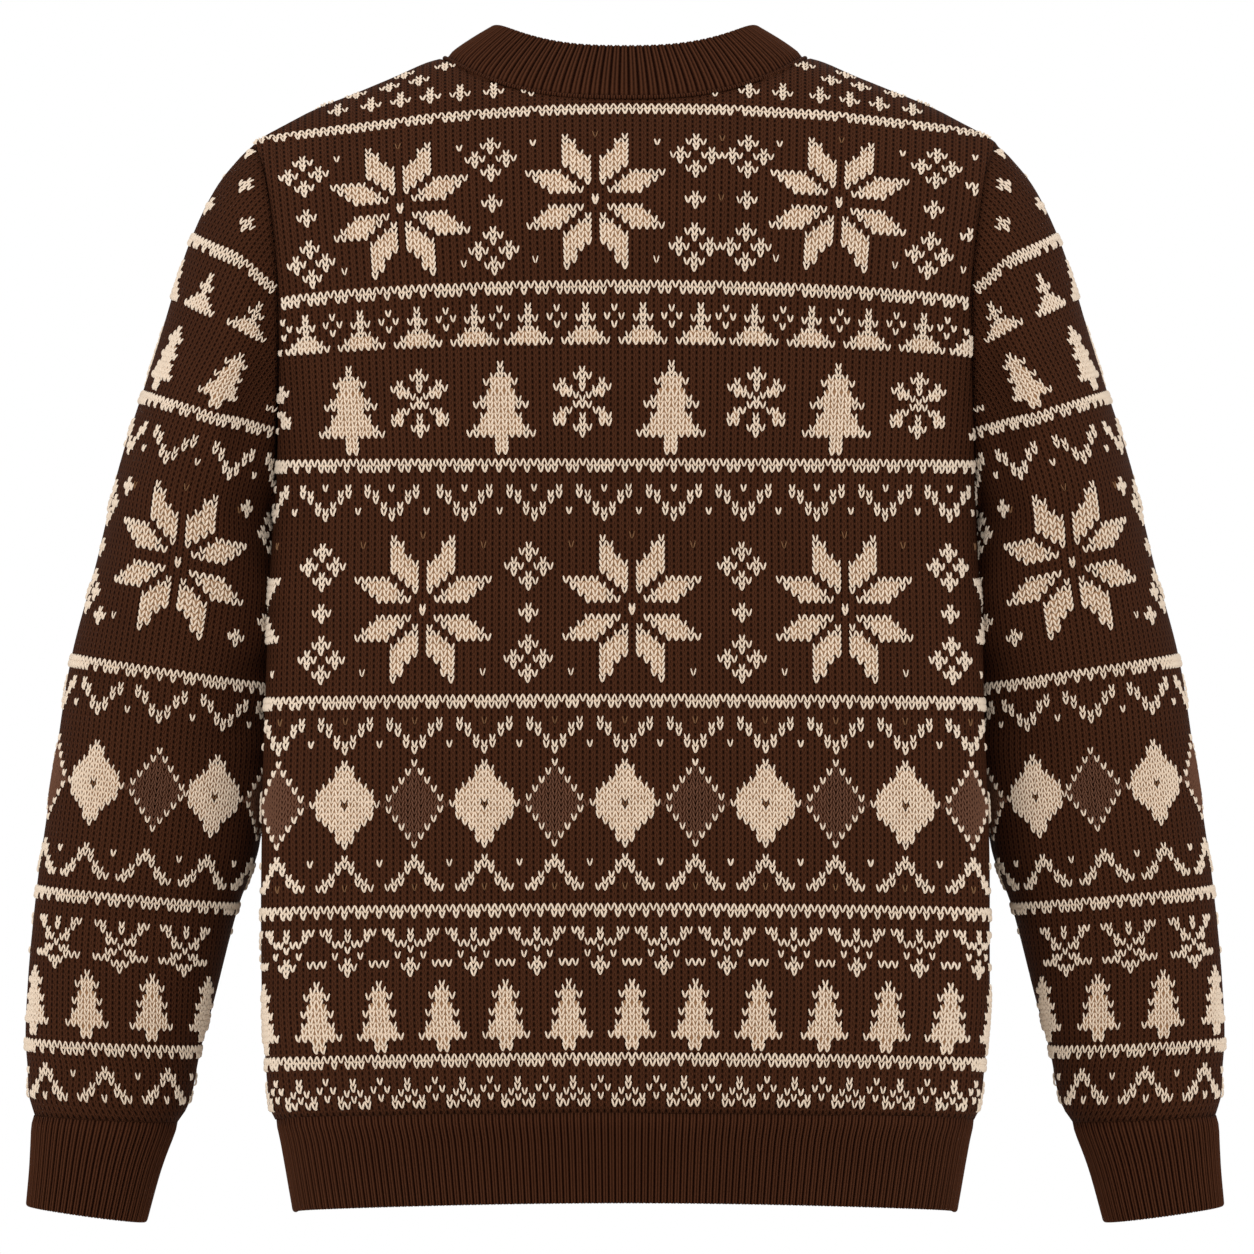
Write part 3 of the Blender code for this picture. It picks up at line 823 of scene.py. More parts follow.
def sleevePiece(name, cloth, material, mirror):
    turns = np.linspace(-math.pi, math.pi, sheetSteps["round"])
    loop = armholeAt(turns)
    ends = smooth(capTable, "along", loop[:, 2])
    alongs = np.linspace(0, 1, sheetSteps["along"])[:, None] * ends[None]
    points = sleeveSurface(alongs, turns[None], loop[None], ends[None])
    i = np.interp(alongs, cloth["alongs"], np.arange(len(cloth["alongs"])))
    j = np.interp(turns, cloth["turns"], np.arange(float(clothMap["turns"])))[None] + 0 * i
    wale = lookUp(cloth["arc"], i, j)
    uv = np.stack((wale, alongs / knit["course"]), axis=-1)
    return gridPiece(name, points, uv, material, mirror)


# A stitch of light yarn is a V of two plump legs, each with four rings and a tip from its foot up:
# way across a wale, up a course, half width of the leg, lift of its crest.
legs = {
    "alone": (
        (0.045, -0.64, 0.084, 0.0004),
        (0.140, -0.33, 0.126, 0.0013),
        (0.245, 0.12, 0.133, 0.0013),
        (0.325, 0.50, 0.110, 0.0009),
        (0.355, 0.74, 0.0, -0.0002),
    ),
    "under": (          # with another stitch of its own above
        (0.040, -0.76, 0.090, 0.0006),
        (0.145, -0.40, 0.131, 0.0015),
        (0.262, 0.02, 0.139, 0.0015),
        (0.352, 0.42, 0.124, 0.0012),
        (0.395, 0.78, 0.0, -0.0002),
    ),
    "beside": (         # in an upper edge, leaning on its neighbour
        (0.045, -0.70, 0.084, 0.0004),
        (0.145, -0.38, 0.128, 0.0013),
        (0.270, 0.08, 0.135, 0.0013),
        (0.405, 0.50, 0.117, 0.0009),
        (0.490, 0.76, 0.0, -0.0002),
    ),
}
legKinds = np.array([legs["alone"], legs["under"], legs["beside"]])
plumpness = {"cream": 1.0, "grey": 0.8, "tan": 0.62, "thinCream": 0.72}
yarns = {"cream": 0, "grey": 1, "tan": 2, "thinCream": 0}       # places in the list of figure wools
# the bed's slot: cream with painted shade, for the hollows between the legs
paintedShadeSlot = 3
stitch = {
    "unevenWale": 0.015,        # how unevenly the stitches sit, in wales, courses and plumpness
    "unevenCourse": 0.03,
    "unevenPlump": 0.06,
    "edgeDrop": 0.0010,         # a leg's edges lie this much under its crest
    "bedCourses": (-0.25, 0.85),        # the bed that hides the ground between the legs
    "bedBeside": 0.53,
    "bedAlone": 0.2,
    "bedLift": 0.00025,
    "besideApart": (0.7, 1.17),         # wales between stitches that touch, in about one course
    "besideLevel": 0.3,
    "aboveApart": (0.4, 1.3),           # courses between stitches that touch, in about one wale
    "aboveLevel": 0.6,
    "sideRoom": 0.45,           # wales and courses kept free at the seams, and metres at a sleeve's end
    "topRoom": 0.9,
    "endRoom": 0.0022,
    "foldRoom": 0.6,            # steps kept free at a sleeve's own seam
    "narrowest": 0.3,
}


def nextTo(stitches):
    # the stitches of its own yarn to the left, to the right, above and below each one, or -1
    cells = {}
    for index, (wale, course, yarn, _) in enumerate(stitches):
        cells.setdefault((math.floor(wale), math.floor(course), yarn), []).append(index)
    found = np.full((4, len(stitches)), -1)
    (nearest, farthest), (lowest, highest) = stitch["besideApart"], stitch["aboveApart"]
    for index, (wale, course, yarn, _) in enumerate(stitches):
        column, row = math.floor(wale), math.floor(course)
        for a in range(-2, 3):
            for b in range(-2, 3):
                for other in cells.get((column + a, row + b, yarn), ()):
                    across, up = stitches[other][0] - wale, stitches[other][1] - course
                    if abs(up) < stitch["besideLevel"] and nearest < abs(across) < farthest:
                        found[0 if across < 0 else 1, index] = other
                    if abs(across) < stitch["aboveLevel"] and lowest < abs(up) < highest:
                        found[2 if up > 0 else 3, index] = other
    return found


def stitchPiece(name, cloth, stitches, materials, mirror, seed):
    # stitches are wale, course, material and plumpness; every leg is a ridge on the cloth
    rng = np.random.default_rng(seed)
    around = nextTo(stitches)
    nextLeft, nextRight, above, below = around >= 0
    flanked = nextLeft | nextRight
    beside = {-1: nextLeft, 1: nextRight}
    wale, course, yarn, plump = (np.array(column) for column in zip(*stitches))
    # where the stitches stand wider apart, their yarn spreads to fill the room
    width = np.ones(len(wale))
    for other in around[:2]:
        width = np.maximum(width, np.where(other >= 0, np.abs(wale[other] - wale), 1.0))
    wale = wale + rng.normal(0, stitch["unevenWale"], len(wale))
    course = course + 0.5 + rng.normal(0, stitch["unevenCourse"], len(wale))
    size = plump * (1 + rng.normal(0, stitch["unevenPlump"], len(wale)))
    middle = onCloth(cloth, "table", wale, course)
    right = onCloth(cloth, "table", wale + 0.5, course) - onCloth(cloth, "table", wale - 0.5, course)
    up = onCloth(cloth, "table", wale, course + 0.5) - onCloth(cloth, "table", wale, course - 0.5)
    out = unit(onCloth(cloth, "normals", wale, course))
    points, uv = [], []

    def lay(across, rise, lift):
        rise, lift = rise + 0 * wale, lift + 0 * wale
        points.append(middle + right * across[:, None] + up * rise[:, None] + out * lift[:, None])
        uv.append(np.stack((wale + across, course + rise), axis=-1))

    for side in (-1, 1):
        leg = legKinds[np.where(above, 1, np.where(beside[side], 2, 0))]        # under, beside or alone
        for ring in range(5):
            away, rise, half, lift = (leg[:, ring, column] for column in range(4))
            for edge in (-1, 0, 1) if ring < 4 else (0,):
                across = (side * away + edge * half * size) * width
                lay(across, rise, (lift - stitch["edgeDrop"] * abs(edge)) * plump)
    # in broad areas the ground between the legs is hidden by the yarn itself, a bed of cream yarn with
    # painted shade
    filled = flanked & above & flanked[around[2]] & (below | above[around[2]]) & (yarn == 0)
    low, high = stitch["bedCourses"]
    for side, rise in ((-1, low), (1, low), (1, high), (-1, high)):
        inside = side * width * np.where(beside[side], stitch["bedBeside"], stitch["bedAlone"])
        lay(inside, rise, stitch["bedLift"])
    points, uv = np.stack(points, axis=1), np.stack(uv, axis=1)
    legPoints = 13                      # four rings of three and a tip
    bed = 2 * legPoints
    faces = [(bed, bed + 1, bed + 2), (bed, bed + 2, bed + 3)]
    for leg in (0, legPoints):
        for ring in range(3):
            for edge in range(2):
                k = leg + ring * 3 + edge
                faces += [(k, k + 1, k + 4), (k, k + 4, k + 3)]
        faces += [(leg + 9, leg + 10, leg + 12), (leg + 10, leg + 11, leg + 12)]
    faces = np.array(faces)
    every = np.arange(len(stitches))[:, None, None] * points.shape[1] + faces[None]
    slots = np.repeat(yarn[:, None], len(faces), axis=1)
    # the bed's faces take the cream with painted shade
    slots[:, :2] = paintedShadeSlot           # the bed's two faces come first
    kept = np.ones(slots.shape, bool)
    kept[~filled, :2] = False
    every, slots = every[kept], slots[kept]
    turned = np.sum(np.cross(right, up) * out) < 0
    if mirror:
        points = points * (-1, 1, 1)
    if turned != mirror:
        every = every[:, ::-1]
    corner = uv.reshape(-1, 2)[every.ravel()]
    return addMesh(name, points.reshape(-1, 3), every, materials, corner, slots)


def panelStitches(cloth, figure):
    # the figure's stitches that have room on a panel
    found = []
    for (wale, course), yarn in sorted(figure.items()):
        if abs(wale) > sideWale - stitch["sideRoom"] or course < 0:
            continue
        height = float(onCloth(cloth, "heights", np.array(float(wale)), np.array(course + 0.5)))
        last = float(np.interp(wale, cloth["wales"], cloth["last"]))
        edge = float(armholeGirth(height)) if height > body["underarm"] else 1.0
        if course + stitch["topRoom"] > last or abs(wale) > waleAt(edge) - stitch["sideRoom"]:
            continue
        found.append((wale, course, yarns[yarn], plumpness[yarn]))
    return found


def sleeveStitches(cloth, figure):
    # the figure's stitches that have room on a sleeve
    found = []
    lastTurn = clothMap["turns"] - 1 - stitch["foldRoom"]
    for (wale, course), yarn in sorted(figure.items()):
        if course < 0 or abs(wale) > clothMap["lastWale"] - 1:
            continue
        here = (np.array(float(wale)), np.array(course + 0.5))
        low = onCloth(cloth, "places", here[0] - 0.5, here[1])
        high = onCloth(cloth, "places", here[0] + 0.5, here[1])
        if low < stitch["foldRoom"] or high > lastTurn or high - low < stitch["narrowest"]:
            continue
        if onCloth(cloth, "toEnd", *here) < stitch["endRoom"]:
            continue
        found.append((wale, course, yarns[yarn], plumpness[yarn]))
    return found


# Ribbed bands: doubled rib knit with a soft free edge
rib = {
    "thickness": 0.0040,
    "groove": 0.0016,
    "slit": 0.0007,
    "slitWidth": 0.26,
    "perRib": 8,                # steps across a rib, down the band and round its free edge
    "rows": 12,
    "edgeSteps": 5,
    "innerStep": 0.8,           # courses from step to step on the band's inner face
    "seamDip": 0.0018,          # by its seam the band dips and its ribs flatten out
    "seamDipWidth": 0.0040,
    "seamFlat": 0.95,
    "seamFlatWidth": 0.0048,
}


def grooveAt(phase):
    # depth of the groove beside a rib and of the slit between its two legs, at a whole number
    off = np.abs(phase - np.round(phase)) * 2
    groove = rib["groove"] * easeIn(np.clip((off - 0.5) / 0.5, 0, 1))
    return groove + rib["slit"] * np.clip(1 - off / rib["slitWidth"], 0, 1)


def ribbedPiece(name, outer, outward, phase, length, material, closed, mirror):
    # outer runs from the seam to the free edge by rows, and round the band by columns
    rows, columns = outer.shape[:2]
    half = rib["thickness"] / 2
    toSeam = np.linspace(0, 1, rows)[:, None] * length
    dip = rib["seamDip"] * np.exp(-((toSeam / rib["seamDipWidth"]) ** 2))
    flat = rib["seamFlat"] * np.exp(-((toSeam / rib["seamFlatWidth"]) ** 2))
    groove, back = grooveAt(phase)[None, :] * (1 - flat), grooveAt(phase + 0.5)[None, :]
    away = unit(outer[-1] - outer[-2])
    band = outer.copy()
    band[-1] -= away * half
    face = band - outward * (groove + dip)[..., None]
    inner = band - outward * (rib["thickness"] - back)[..., None]
    centre = band[-1] - outward[-1] * half
    section = list(face)
    for k in range(1, rib["edgeSteps"] + 1):
        angle = math.pi * k / (rib["edgeSteps"] + 1)
        deep = groove[-1] if angle < math.pi / 2 else back[0]
        reach = (half - deep)[:, None]
        bulge = (half - 0.5 * deep)[:, None]
        section.append(centre + outward[-1] * reach * math.cos(angle) + away * bulge * math.sin(angle))
    section += [inner[i] for i in range(rows - 1, -1, -2)]      # every other row does inside
    if (rows - 1) % 2:
        section.append(inner[0])
    points = np.array(section)
    courses = np.linspace(0, length / knit["course"], rows)
    rest = courses[-1] + np.arange(1, len(section) - rows + 1) * rib["innerStep"]
    courses = np.concatenate((courses, rest))
    uv = np.stack(np.broadcast_arrays(phase[None, :], courses[:, None]), axis=-1)
    if mirror:
        points, outward = points * (-1, 1, 1), outward * (-1, 1, 1)
    points = points.reshape(-1, 3)
    faces = gridFaces(len(section), columns, wrapRows=True, wrapColumns=closed)
    faces = faceOut(points, faces, outward[0, : columns if closed else columns - 1])
    corner = uv.reshape(-1, 2)[faces.ravel()]
    if closed:
        # faces across the closing line count on, not back to the start
        whole = phase[-1] + phase[1] - 2 * phase[0]
        corner = corner.reshape(-1, 4, 2)
        wide = np.ptp(corner[:, :, 0], axis=1) > whole / 2
        low = corner[:, :, 0] < phase[0] + whole / 2
        corner[wide[:, None] & low, 0] += whole
        corner = corner.reshape(-1, 2)
    piece = addMesh(name, points, faces, [material], corner)
    if not closed:
        capEnds(piece, len(section), columns)
    return piece


def capEnds(piece, rows, columns):
    # closes the two cut ends of a band
    form = bmesh.new()
    form.from_mesh(piece.data)
    form.verts.ensure_lookup_table()
    for j in (0, columns - 1):
        ring = [form.verts[i * columns + j] for i in range(rows)]
        form.faces.new(ring if j else ring[::-1])
    bmesh.ops.recalc_face_normals(form, faces=form.faces)
    form.to_mesh(piece.data)
    form.free()


def outwardFrom(points, centre, closed):
    normals = facing(points, closed)
    return normals * np.sign(np.sum(normals * (points - centre)))


def evenTurns(line, count, fine=1440):
    # the turns that part a closed line evenly; line gives its points
    turns = np.linspace(0, 2 * math.pi, fine + 1)
    length = arcLength(line(turns))
    return np.interp(np.arange(count) / count, length / length[-1], turns)


def hemPiece(side, material):
    phase = np.linspace(-sideWale, sideWale, int(2 * sideWale * rib["perRib"]) + 1)
    girth = girthOf(phase)
    levels = np.linspace(body["hemSeam"], body["hemEdge"], rib["rows"])
    outer = np.array([trunk(side, girth, level - sag(level, girth)) for level in levels])
    outward = outwardFrom(outer, outer.mean(axis=(0, 1)) * (1, 0, 1), False)
    length = body["hemSeam"] - body["hemEdge"]
    name = "hemRib" + side.capitalize()
    return ribbedPiece(name, outer, outward, phase, length, material, False, False)


cuffBand = {"ribs": 54, "length": 0.0545, "middle": -0.027}


def cuffPiece(name, material, mirror):
    steps = cuffBand["ribs"] * rib["perRib"]
    turns = evenTurns(lambda turns: sleevePoint(cuffBand["middle"], turns), steps, 720)
    alongs = np.linspace(0, -cuffBand["length"], rib["rows"])[:, None]
    outer = sleevePoint(alongs, turns[None])
    outward = outwardFrom(outer, outer.mean(axis=1, keepdims=True), True)
    phase = np.arange(steps) / rib["perRib"]
    return ribbedPiece(name, outer, outward, phase, cuffBand["length"], material, True, mirror)


neckTop = {
    "ribs": 112,
    "length": 0.036,
    "centre": 0.05,             # outward directions are judged from this far under the band
    "halfWidth": 0.0803,
    "side": 0.0272,
    "reach": {"back": 0.048, "front": 0.070},
    "height": {"back": 0.0108, "front": -0.052},
    "roundness": {"back": 2.6, "front": 2.2},
    "cornerDrop": 0.0022,
    "cornerPower": 24,
    "bulge": 0.0015,
}


def neckRing(turns):
    # seam and free edge of the neck band; turns run over the back, then over the front
    seam = np.zeros((len(turns), 3))
    edge = np.zeros((len(turns), 3))
    for name in ("back", "front"):
        here = turns <= math.pi if name == "back" else turns > math.pi
        angle = turns[here] - math.pi / 2 if name == "back" else 3 * math.pi / 2 - turns[here]
        girth = girthAt(body["neckHalfWidth"] * np.sin(angle), 0.0)
        seam[here] = trunk(name, girth, topEdge(name, girth))
        width = seam[here, 0] / body["neckHalfWidth"]
        share = 1 - np.abs(width) ** neckTop["roundness"][name]
        depth = np.sqrt(np.clip(1 - width**2, 0, 1))
        edge[here, 0] = neckTop["halfWidth"] * width
        edge[here, 1] = body["side"][name] * neckTop["reach"][name] * depth
        edge[here, 2] = neckTop["side"] - (neckTop["side"] - neckTop["height"][name]) * share
        edge[here, 2] -= neckTop["cornerDrop"] * np.abs(width) ** neckTop["cornerPower"]
    return seam, edge


def neckPiece(material):
    steps = neckTop["ribs"] * rib["perRib"]
    seam, edge = neckRing(evenTurns(lambda turns: sum(neckRing(turns)) / 2, steps))
    outer = []
    for share in np.linspace(0, 1, rib["rows"]):
        ring = seam + (edge - seam) * share
        aside = ring * (1, 1, 0) / np.linalg.norm(ring[:, :2], axis=1, keepdims=True)
        outer.append(ring + aside * neckTop["bulge"] * math.sin(math.pi * share))
    outer = np.array(outer)
    across = np.roll(outer, -1, axis=1) - np.roll(outer, 1, axis=1)
    outward = unit(np.cross(across, np.gradient(outer, axis=0)))
    centre = outer.mean(axis=1, keepdims=True) - (0, 0, neckTop["centre"])
    outward = outward * np.sign(np.sum(outward * (outer - centre)))
    phase = np.arange(steps) / rib["perRib"]
    return ribbedPiece("neckRib", outer, outward, phase, neckTop["length"], material, True, False)


linkingRoll = {"steps": 420, "sides": 8, "radius": 0.0013, "uneven": 0.10, "sunk": 0.0006, "centre": 0.03}


def linkingPiece(material):
    # the fine roll of linking under the neck band, a little fuller at every other step
    steps, sides = linkingRoll["steps"], linkingRoll["sides"]
    seam, edge = neckRing(evenTurns(lambda turns: neckRing(turns)[0], steps))
    tangent = unit(np.roll(seam, -1, axis=0) - np.roll(seam, 1, axis=0))
    rising = unit(edge - seam)
    outward = unit(np.cross(tangent, rising))
    centre = seam.mean(axis=0) - (0, 0, linkingRoll["centre"])
    outward = outward * np.sign(np.sum(outward * (seam - centre)))
    uneven = linkingRoll["uneven"] * np.cos(np.arange(steps) * math.pi)
    radius = linkingRoll["radius"] * (1 + uneven)[:, None]
    points = []
    for k in range(sides):
        angle = 2 * math.pi * k / sides
        spoke = outward * math.cos(angle) + rising * math.sin(angle)
        points.append(seam - outward * linkingRoll["sunk"] + spoke * radius)
    points = np.array(points).reshape(-1, 3)
    faces = faceOut(points, gridFaces(sides, steps, wrapRows=True, wrapColumns=True), outward)
    uv = np.stack(np.broadcast_arrays(np.arange(steps) / 2.0, np.arange(sides)[:, None] / sides), axis=-1)
    return addMesh("neckLinking", points, faces, [material], uv.reshape(-1, 2)[faces.ravel()])


def linear(code):
    # an sRGB hex colour as linear red, green, blue and alpha
    parts = [int(code[i : i + 2], 16) / 255 for i in (1, 3, 5)]
    return tuple(p / 12.92 if p <= 0.04045 else ((p + 0.055) / 1.055) ** 2.4 for p in parts) + (1.0,)


def addNode(tree, kind, *values, **settings):
    # values fill the sockets by place and settings by name; a node or a socket among them is linked
    node = tree.nodes.new(kind)
    filled = dict(enumerate(values))
    for key, value in settings.items():
        if hasattr(node, key) and key not in node.inputs:
            setattr(node, key, value)
        else:
            filled[key] = value
    for key, value in filled.items():
        if isinstance(value, bpy.types.Node):
            value = value.outputs[0]
        if isinstance(value, bpy.types.NodeSocket):
            tree.links.new(value, node.inputs[key])
        else:
            node.inputs[key].default_value = value
    return node


# Lambswool, spun and knitted: no gloss, soft patches of tone, and fine hairs that fleck it. The hairs
# are drawn coarser than their 0.02 mm, because finer ones wouldn't show.
fleece = {"ior": 1.54, "sheenRoughness": 0.5, "patch": 26.3, "hair": 0.385}         # sizes in millimetres


def knitReliefAndPaintedShade(tree, look):
    # the stitches that no figure covers: crests of their legs for the bump, and painted shade, how far the
    # yarn lies in the light, darker in the holes between legs and the gaps between wales
    where = addNode(tree, "ShaderNodeUVMap", uv_map="knit")
    parts = addNode(tree, "ShaderNodeSeparateXYZ", where)
    made = {"wale": parts.outputs[0], "course": parts.outputs[1]}
    fold = (("FRACT",), ("MULTIPLY", math.pi), ("SINE",))       # a hump over every whole number
    faded = ("MULTIPLY_ADD", look["along"], 1 - look["along"])
    hole, gap = 1 / look["hole"], 1 / look["gap"]
    # each quantity starts from another one and goes through its sums in turn
    chains = {
        "off": ("wale", ("ADD", 0.5), ("FRACT",), ("SUBTRACT", 0.5), ("ABSOLUTE",), ("MULTIPLY", 2.0)),
        "lean": ("off", ("MULTIPLY_ADD", -look["rise"], "course"), ("ADD", 0.55), *fold),
        "crest": ("lean", ("MAXIMUM", 0.0001), ("POWER", look["sharp"])),
        "plump": ("off", ("MULTIPLY_ADD", look["spread"], look["start"]), ("MINIMUM", 1.0), *fold[1:]),
        "leg": ("plump", ("MAXIMUM", 0.0001), ("POWER", 0.6), ("MULTIPLY", "crest")),
        "holeFade": ("course", ("ADD", 0.05), *fold, faded),
        "gapFade": ("course", ("ADD", 0.55), *fold, faded),
        "hole": ("off", ("MULTIPLY_ADD", -hole, 1.0), ("MAXIMUM", 0.0), ("MULTIPLY", look["holeDepth"])),
        "gap": ("off", ("MULTIPLY_ADD", gap, 1 - gap), ("MAXIMUM", 0.0), ("MULTIPLY", look["gapDepth"])),
        "gapDark": ("gap", ("MULTIPLY", "gapFade")),
        # painted shade: the holes and the gaps between wales are darkened, as shade falls in them
        "dark": ("hole", ("MULTIPLY_ADD", "holeFade", "gapDark"), ("MINIMUM", 1.0)),
        "lit": ("dark", ("MULTIPLY_ADD", -1.0, 1.0)),
    }
    for name, (start, *sums) in chains.items():
        made[name] = made[start]
        for what, *values in sums:
            values = [made[value] if isinstance(value, str) else value for value in values]
            made[name] = addNode(tree, "ShaderNodeMath", made[name], *values, operation=what)
    return made["leg"], made["lit"]


def woolMaterial(name, look):
    # matte woollen yarn; the cloths' and ribs' looks also have a knit relief, and painted shade that mixes
    # their colour towards the deep one in the knit's holes and gaps
    material = bpy.data.materials.new(name)
    material.use_nodes = True
    tree = material.node_tree
    shader = tree.nodes["Principled BSDF"]
    shader.inputs["Roughness"].default_value = look["roughness"]
    shader.inputs["IOR"].default_value = fleece["ior"]
    shader.inputs["Specular IOR Level"].default_value = look["specular"]
    shader.inputs["Sheen Weight"].default_value = look["sheen"]
    shader.inputs["Sheen Roughness"].default_value = fleece["sheenRoughness"]
    where = addNode(tree, "ShaderNodeTexCoord").outputs["Object"]
    patches = addNode(tree, "ShaderNodeTexNoise", Vector=where, Scale=1000 / fleece["patch"], Detail=3.0)
    hairs = addNode(
        tree, "ShaderNodeTexNoise", Vector=where, Scale=1000 / fleece["hair"], Detail=2.0, Roughness=0.6
    )
    tones = []
    for noise, share in ((patches, look["uneven"]), (hairs, look["fleck"])):
        tones.append(addNode(tree, "ShaderNodeMath", noise, share * 2, 1 - share, operation="MULTIPLY_ADD"))
    tone = addNode(tree, "ShaderNodeMath", *tones, operation="MULTIPLY")
    height = addNode(tree, "ShaderNodeMath", hairs, look["hairHeight"], operation="MULTIPLY")
    shade = linear(look["colour"])[:3]
    if "deep" in look:
        relief, lit = knitReliefAndPaintedShade(tree, look)
        height = addNode(tree, "ShaderNodeMath", height, relief, operation="ADD")
        # painted shade: where the knit is less lit, the colour goes over to the deep colour
        paintedShadeMix = addNode(tree, "ShaderNodeMix", lit, data_type="VECTOR")
        paintedShadeMix.inputs[4].default_value = linear(look["deep"])[:3]
        paintedShadeMix.inputs[5].default_value = shade
        shade = paintedShadeMix.outputs[1]
    colour = addNode(tree, "ShaderNodeVectorMath", shade, Scale=tone, operation="SCALE")
    tree.links.new(colour.outputs[0], shader.inputs["Base Color"])
    bump = addNode(tree, "ShaderNodeBump", Height=height, Distance=look["relief"], Strength=1.0)
    tree.links.new(bump.outputs[0], shader.inputs["Normal"])
    return material


plainYarn = {
    "roughness": 0.9, "specular": 0.03, "sheen": 0.02,
    "uneven": 0.08, "fleck": 0.14, "hairHeight": 0.25, "relief": 0.0007,
}
looks = {
    # the deep colours are painted shade, for the holes between the legs and the gaps between wales and ribs
    "ground": {
        "colour": "#4F2D1C", "deep": "#160601", "roughness": 0.9, "specular": 0.03, "sheen": 0.0,
        "uneven": 0.14, "fleck": 0.28, "hairHeight": 0.25, "relief": 0.0009, "rise": 1.5, "sharp": 0.8,
        "spread": 0.90, "start": 0.09, "hole": 0.58, "holeDepth": 1.35, "along": 0.85,
        "gap": 0.42, "gapDepth": 0.75,
    },
    "rib": {
        "colour": "#4B2B1B", "deep": "#170501", "roughness": 0.9, "specular": 0.03, "sheen": 0.0,
        "uneven": 0.10, "fleck": 0.22, "hairHeight": 0.25, "relief": 0.0004, "rise": 0.5, "sharp": 0.12,
        "spread": 1.10, "start": 0.10, "hole": 0.42, "holeDepth": 0.95, "along": 0.10,
        "gap": 0.50, "gapDepth": 1.3,
    },
    "cream": {**plainYarn, "colour": "#EDD9C3", "specular": 0.05, "uneven": 0.04, "fleck": 0.08},
    "grey": {**plainYarn, "colour": "#6A4837"},
    # painted shade: cream darkened for the hollows between the legs
    "paintedHollowShade": {**plainYarn, "colour": "#957356"},
    "tan": {**plainYarn, "colour": "#7D5A3E"},
}
groundWool = woolMaterial("darkBrownLambswool", looks["ground"])        # matte, with painted shade near black in the holes
ribWool = woolMaterial("darkBrownRibWool", looks["rib"])                # a little darker and denser, with painted shade in its grooves and slits
figureWools = [
    woolMaterial("creamLambswool", looks["cream"]),             # soft warm white, plump yarn
    woolMaterial("greyBrownLambswool", looks["grey"]),          # muted, only in the diamonds
    woolMaterial("tanLambswool", looks["tan"]),                 # stitches half sunk in the ground
    woolMaterial("creamLambswoolPaintedShade", looks["paintedHollowShade"]),      # the cream yarn with painted shade, for the hollows between its legs
]
print("wools dyed:", len(looks))

bodyMarks = bodyFigure()
for side in ("back", "front"):
    cloth = panelCloth(side)
    panel = panelPiece(side, cloth, groundWool)
    stitches = panelStitches(cloth, bodyMarks)
    figure = stitchPiece(side + "Figure", cloth, stitches, figureWools, False, 11 if side == "back" else 12)
    band = hemPiece(side, ribWool)
    for piece in (panel, figure, band):
        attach(piece, "root")
    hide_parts(side)
    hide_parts("hem_rib_" + side)
    print(side, "knitted,", len(stitches), "figure stitches,", len(figure.data.polygons), "triangles")

arm = sleeveCloth()
armStitches = sleeveStitches(arm, sleeveFigure())
for side in ("left", "right"):
    mirror = side == "left"
    sleeve = sleevePiece("sleeve" + side.capitalize(), arm, groundWool, mirror)
    figure = stitchPiece(sleeve.name + "Figure", arm, armStitches, figureWools, mirror, 21 + mirror)
    cuff = cuffPiece("cuff" + side.capitalize(), ribWool, mirror)
    for piece in (sleeve, figure, cuff):
        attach(piece, "root")
    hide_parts("sleeve_" + side)
    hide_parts("cuff_" + side)
    triangles = len(figure.data.polygons)
    print(side, "sleeve knitted,", len(armStitches), "figure stitches,", triangles, "triangles")

neck = neckPiece(ribWool)
linking = linkingPiece(ribWool)
for piece in (neck, linking):
    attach(piece, "root")
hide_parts("neck_rib")
print("neck band knitted")

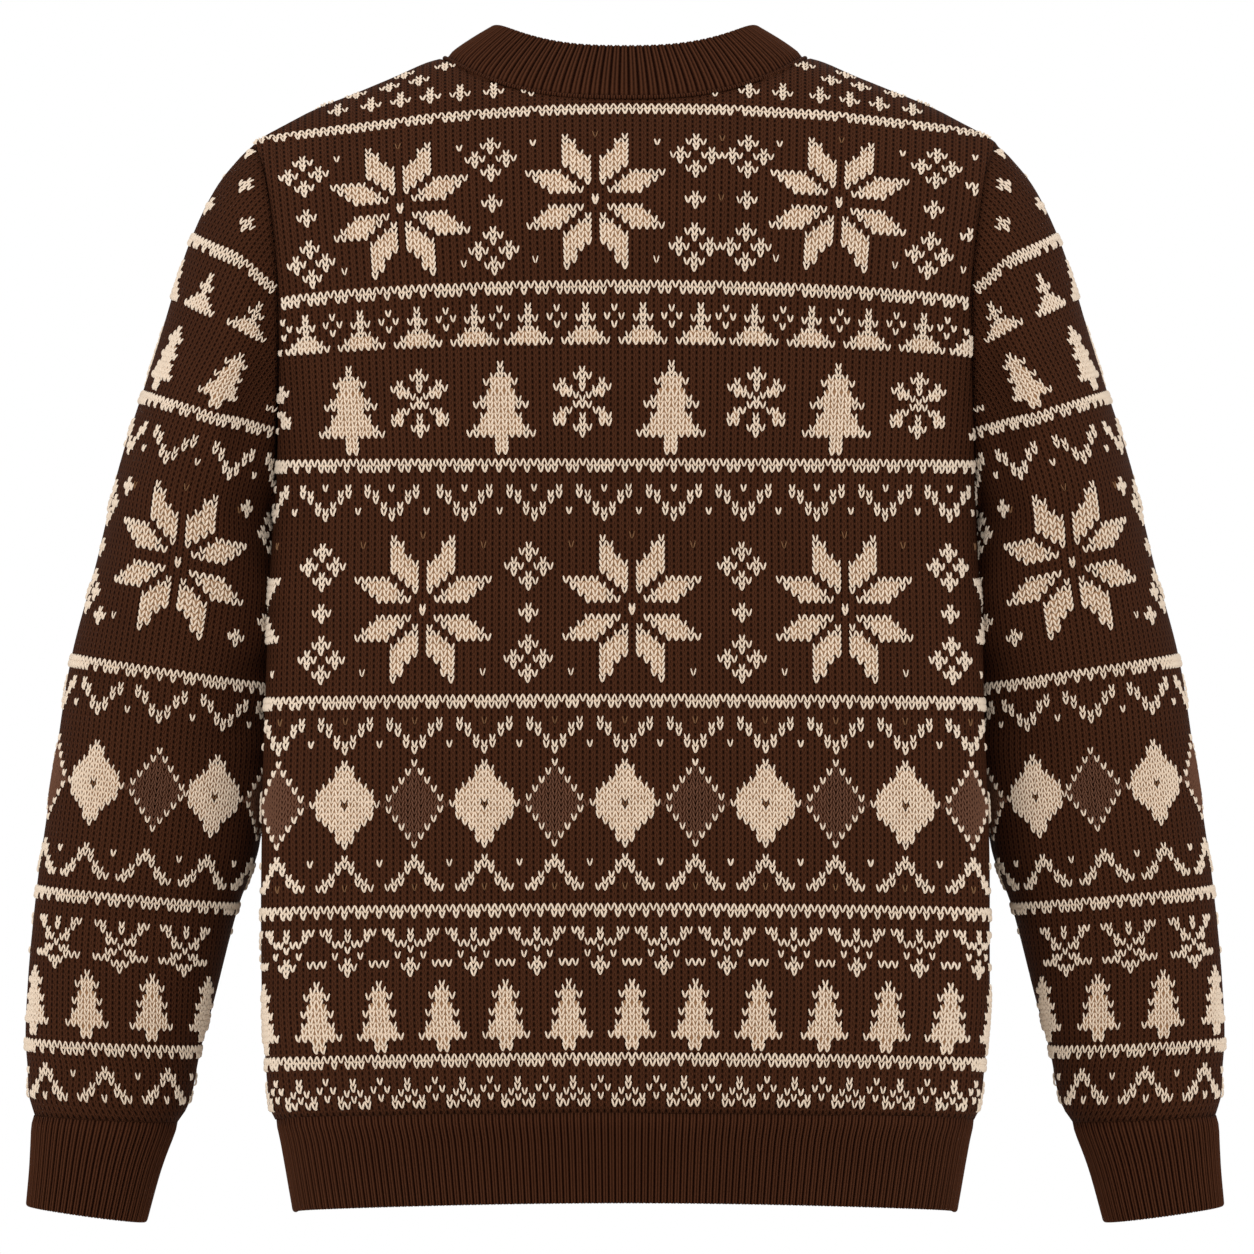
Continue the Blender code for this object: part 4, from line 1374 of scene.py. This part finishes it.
stageLook = {"floor": -0.80, "radius": 1.1, "sides": 96, "paper": "#F2F0EC", "roughness": 0.9, "world": 1.0}
floorPoints = [(0.0, 0.0, stageLook["floor"])]
for k in range(stageLook["sides"]):
    angle = 2 * math.pi * k / stageLook["sides"]
    across, deep = stageLook["radius"] * math.cos(angle), stageLook["radius"] * math.sin(angle)
    floorPoints.append((across, deep, stageLook["floor"]))
floorFaces = [(0, k + 1, (k + 1) % stageLook["sides"] + 1) for k in range(stageLook["sides"])]
paper = bpy.data.materials.new("palePaper")             # plain off-white studio paper, matte
paper.use_nodes = True
paperShader = paper.node_tree.nodes["Principled BSDF"]
paperShader.inputs["Base Color"].default_value = linear(stageLook["paper"])
paperShader.inputs["Roughness"].default_value = stageLook["roughness"]
floor = addMesh("floor", floorPoints, floorFaces, [paper])

world = bpy.data.worlds.new("studio")
world.use_nodes = True
world.node_tree.nodes["Background"].inputs["Color"].default_value = (1, 1, 1, 1)
world.node_tree.nodes["Background"].inputs["Strength"].default_value = stageLook["world"]
bpy.context.scene.world = world

softboxes = {"aim": (0, 0, -0.35), "lamps": (      # place, size and power of each
    ("keySoftbox", (-1.6, -2.6, 1.5), 1.2, 26),
    ("fillSoftbox", (2.4, -2.2, 0.3), 1.6, 9),
    ("frontSoftbox", (0.9, 3.0, 1.2), 1.6, 18),
)}
for name, spot, size, power in softboxes["lamps"]:
    lamp = bpy.data.lights.new(name, "AREA")
    lamp.shape = "DISK"
    lamp.size = size
    lamp.energy = power
    box = bpy.data.objects.new(name, lamp)
    box.location = spot
    direction = Vector(softboxes["aim"]) - Vector(spot)
    box.rotation_euler = direction.to_track_quat("-Z", "Y").to_euler()
    bpy.context.scene.collection.objects.link(box)

camera = {"distance": 7.0, "across": 0.0012, "height": -0.3468, "framed": 0.7737, "sensor": 36.0, "end": 40}
view = bpy.data.cameras.new("camera")
view.sensor_width = camera["sensor"]
view.lens = camera["sensor"] * camera["distance"] / camera["framed"]
view.clip_end = camera["end"]
eye = bpy.data.objects.new("camera", view)
eye.location = (camera["across"], -camera["distance"], camera["height"])
eye.rotation_euler = (math.pi / 2, 0, 0)
bpy.context.scene.collection.objects.link(eye)
bpy.context.scene.camera = eye
bpy.context.scene.view_settings.view_transform = "Standard"
print("stage set")
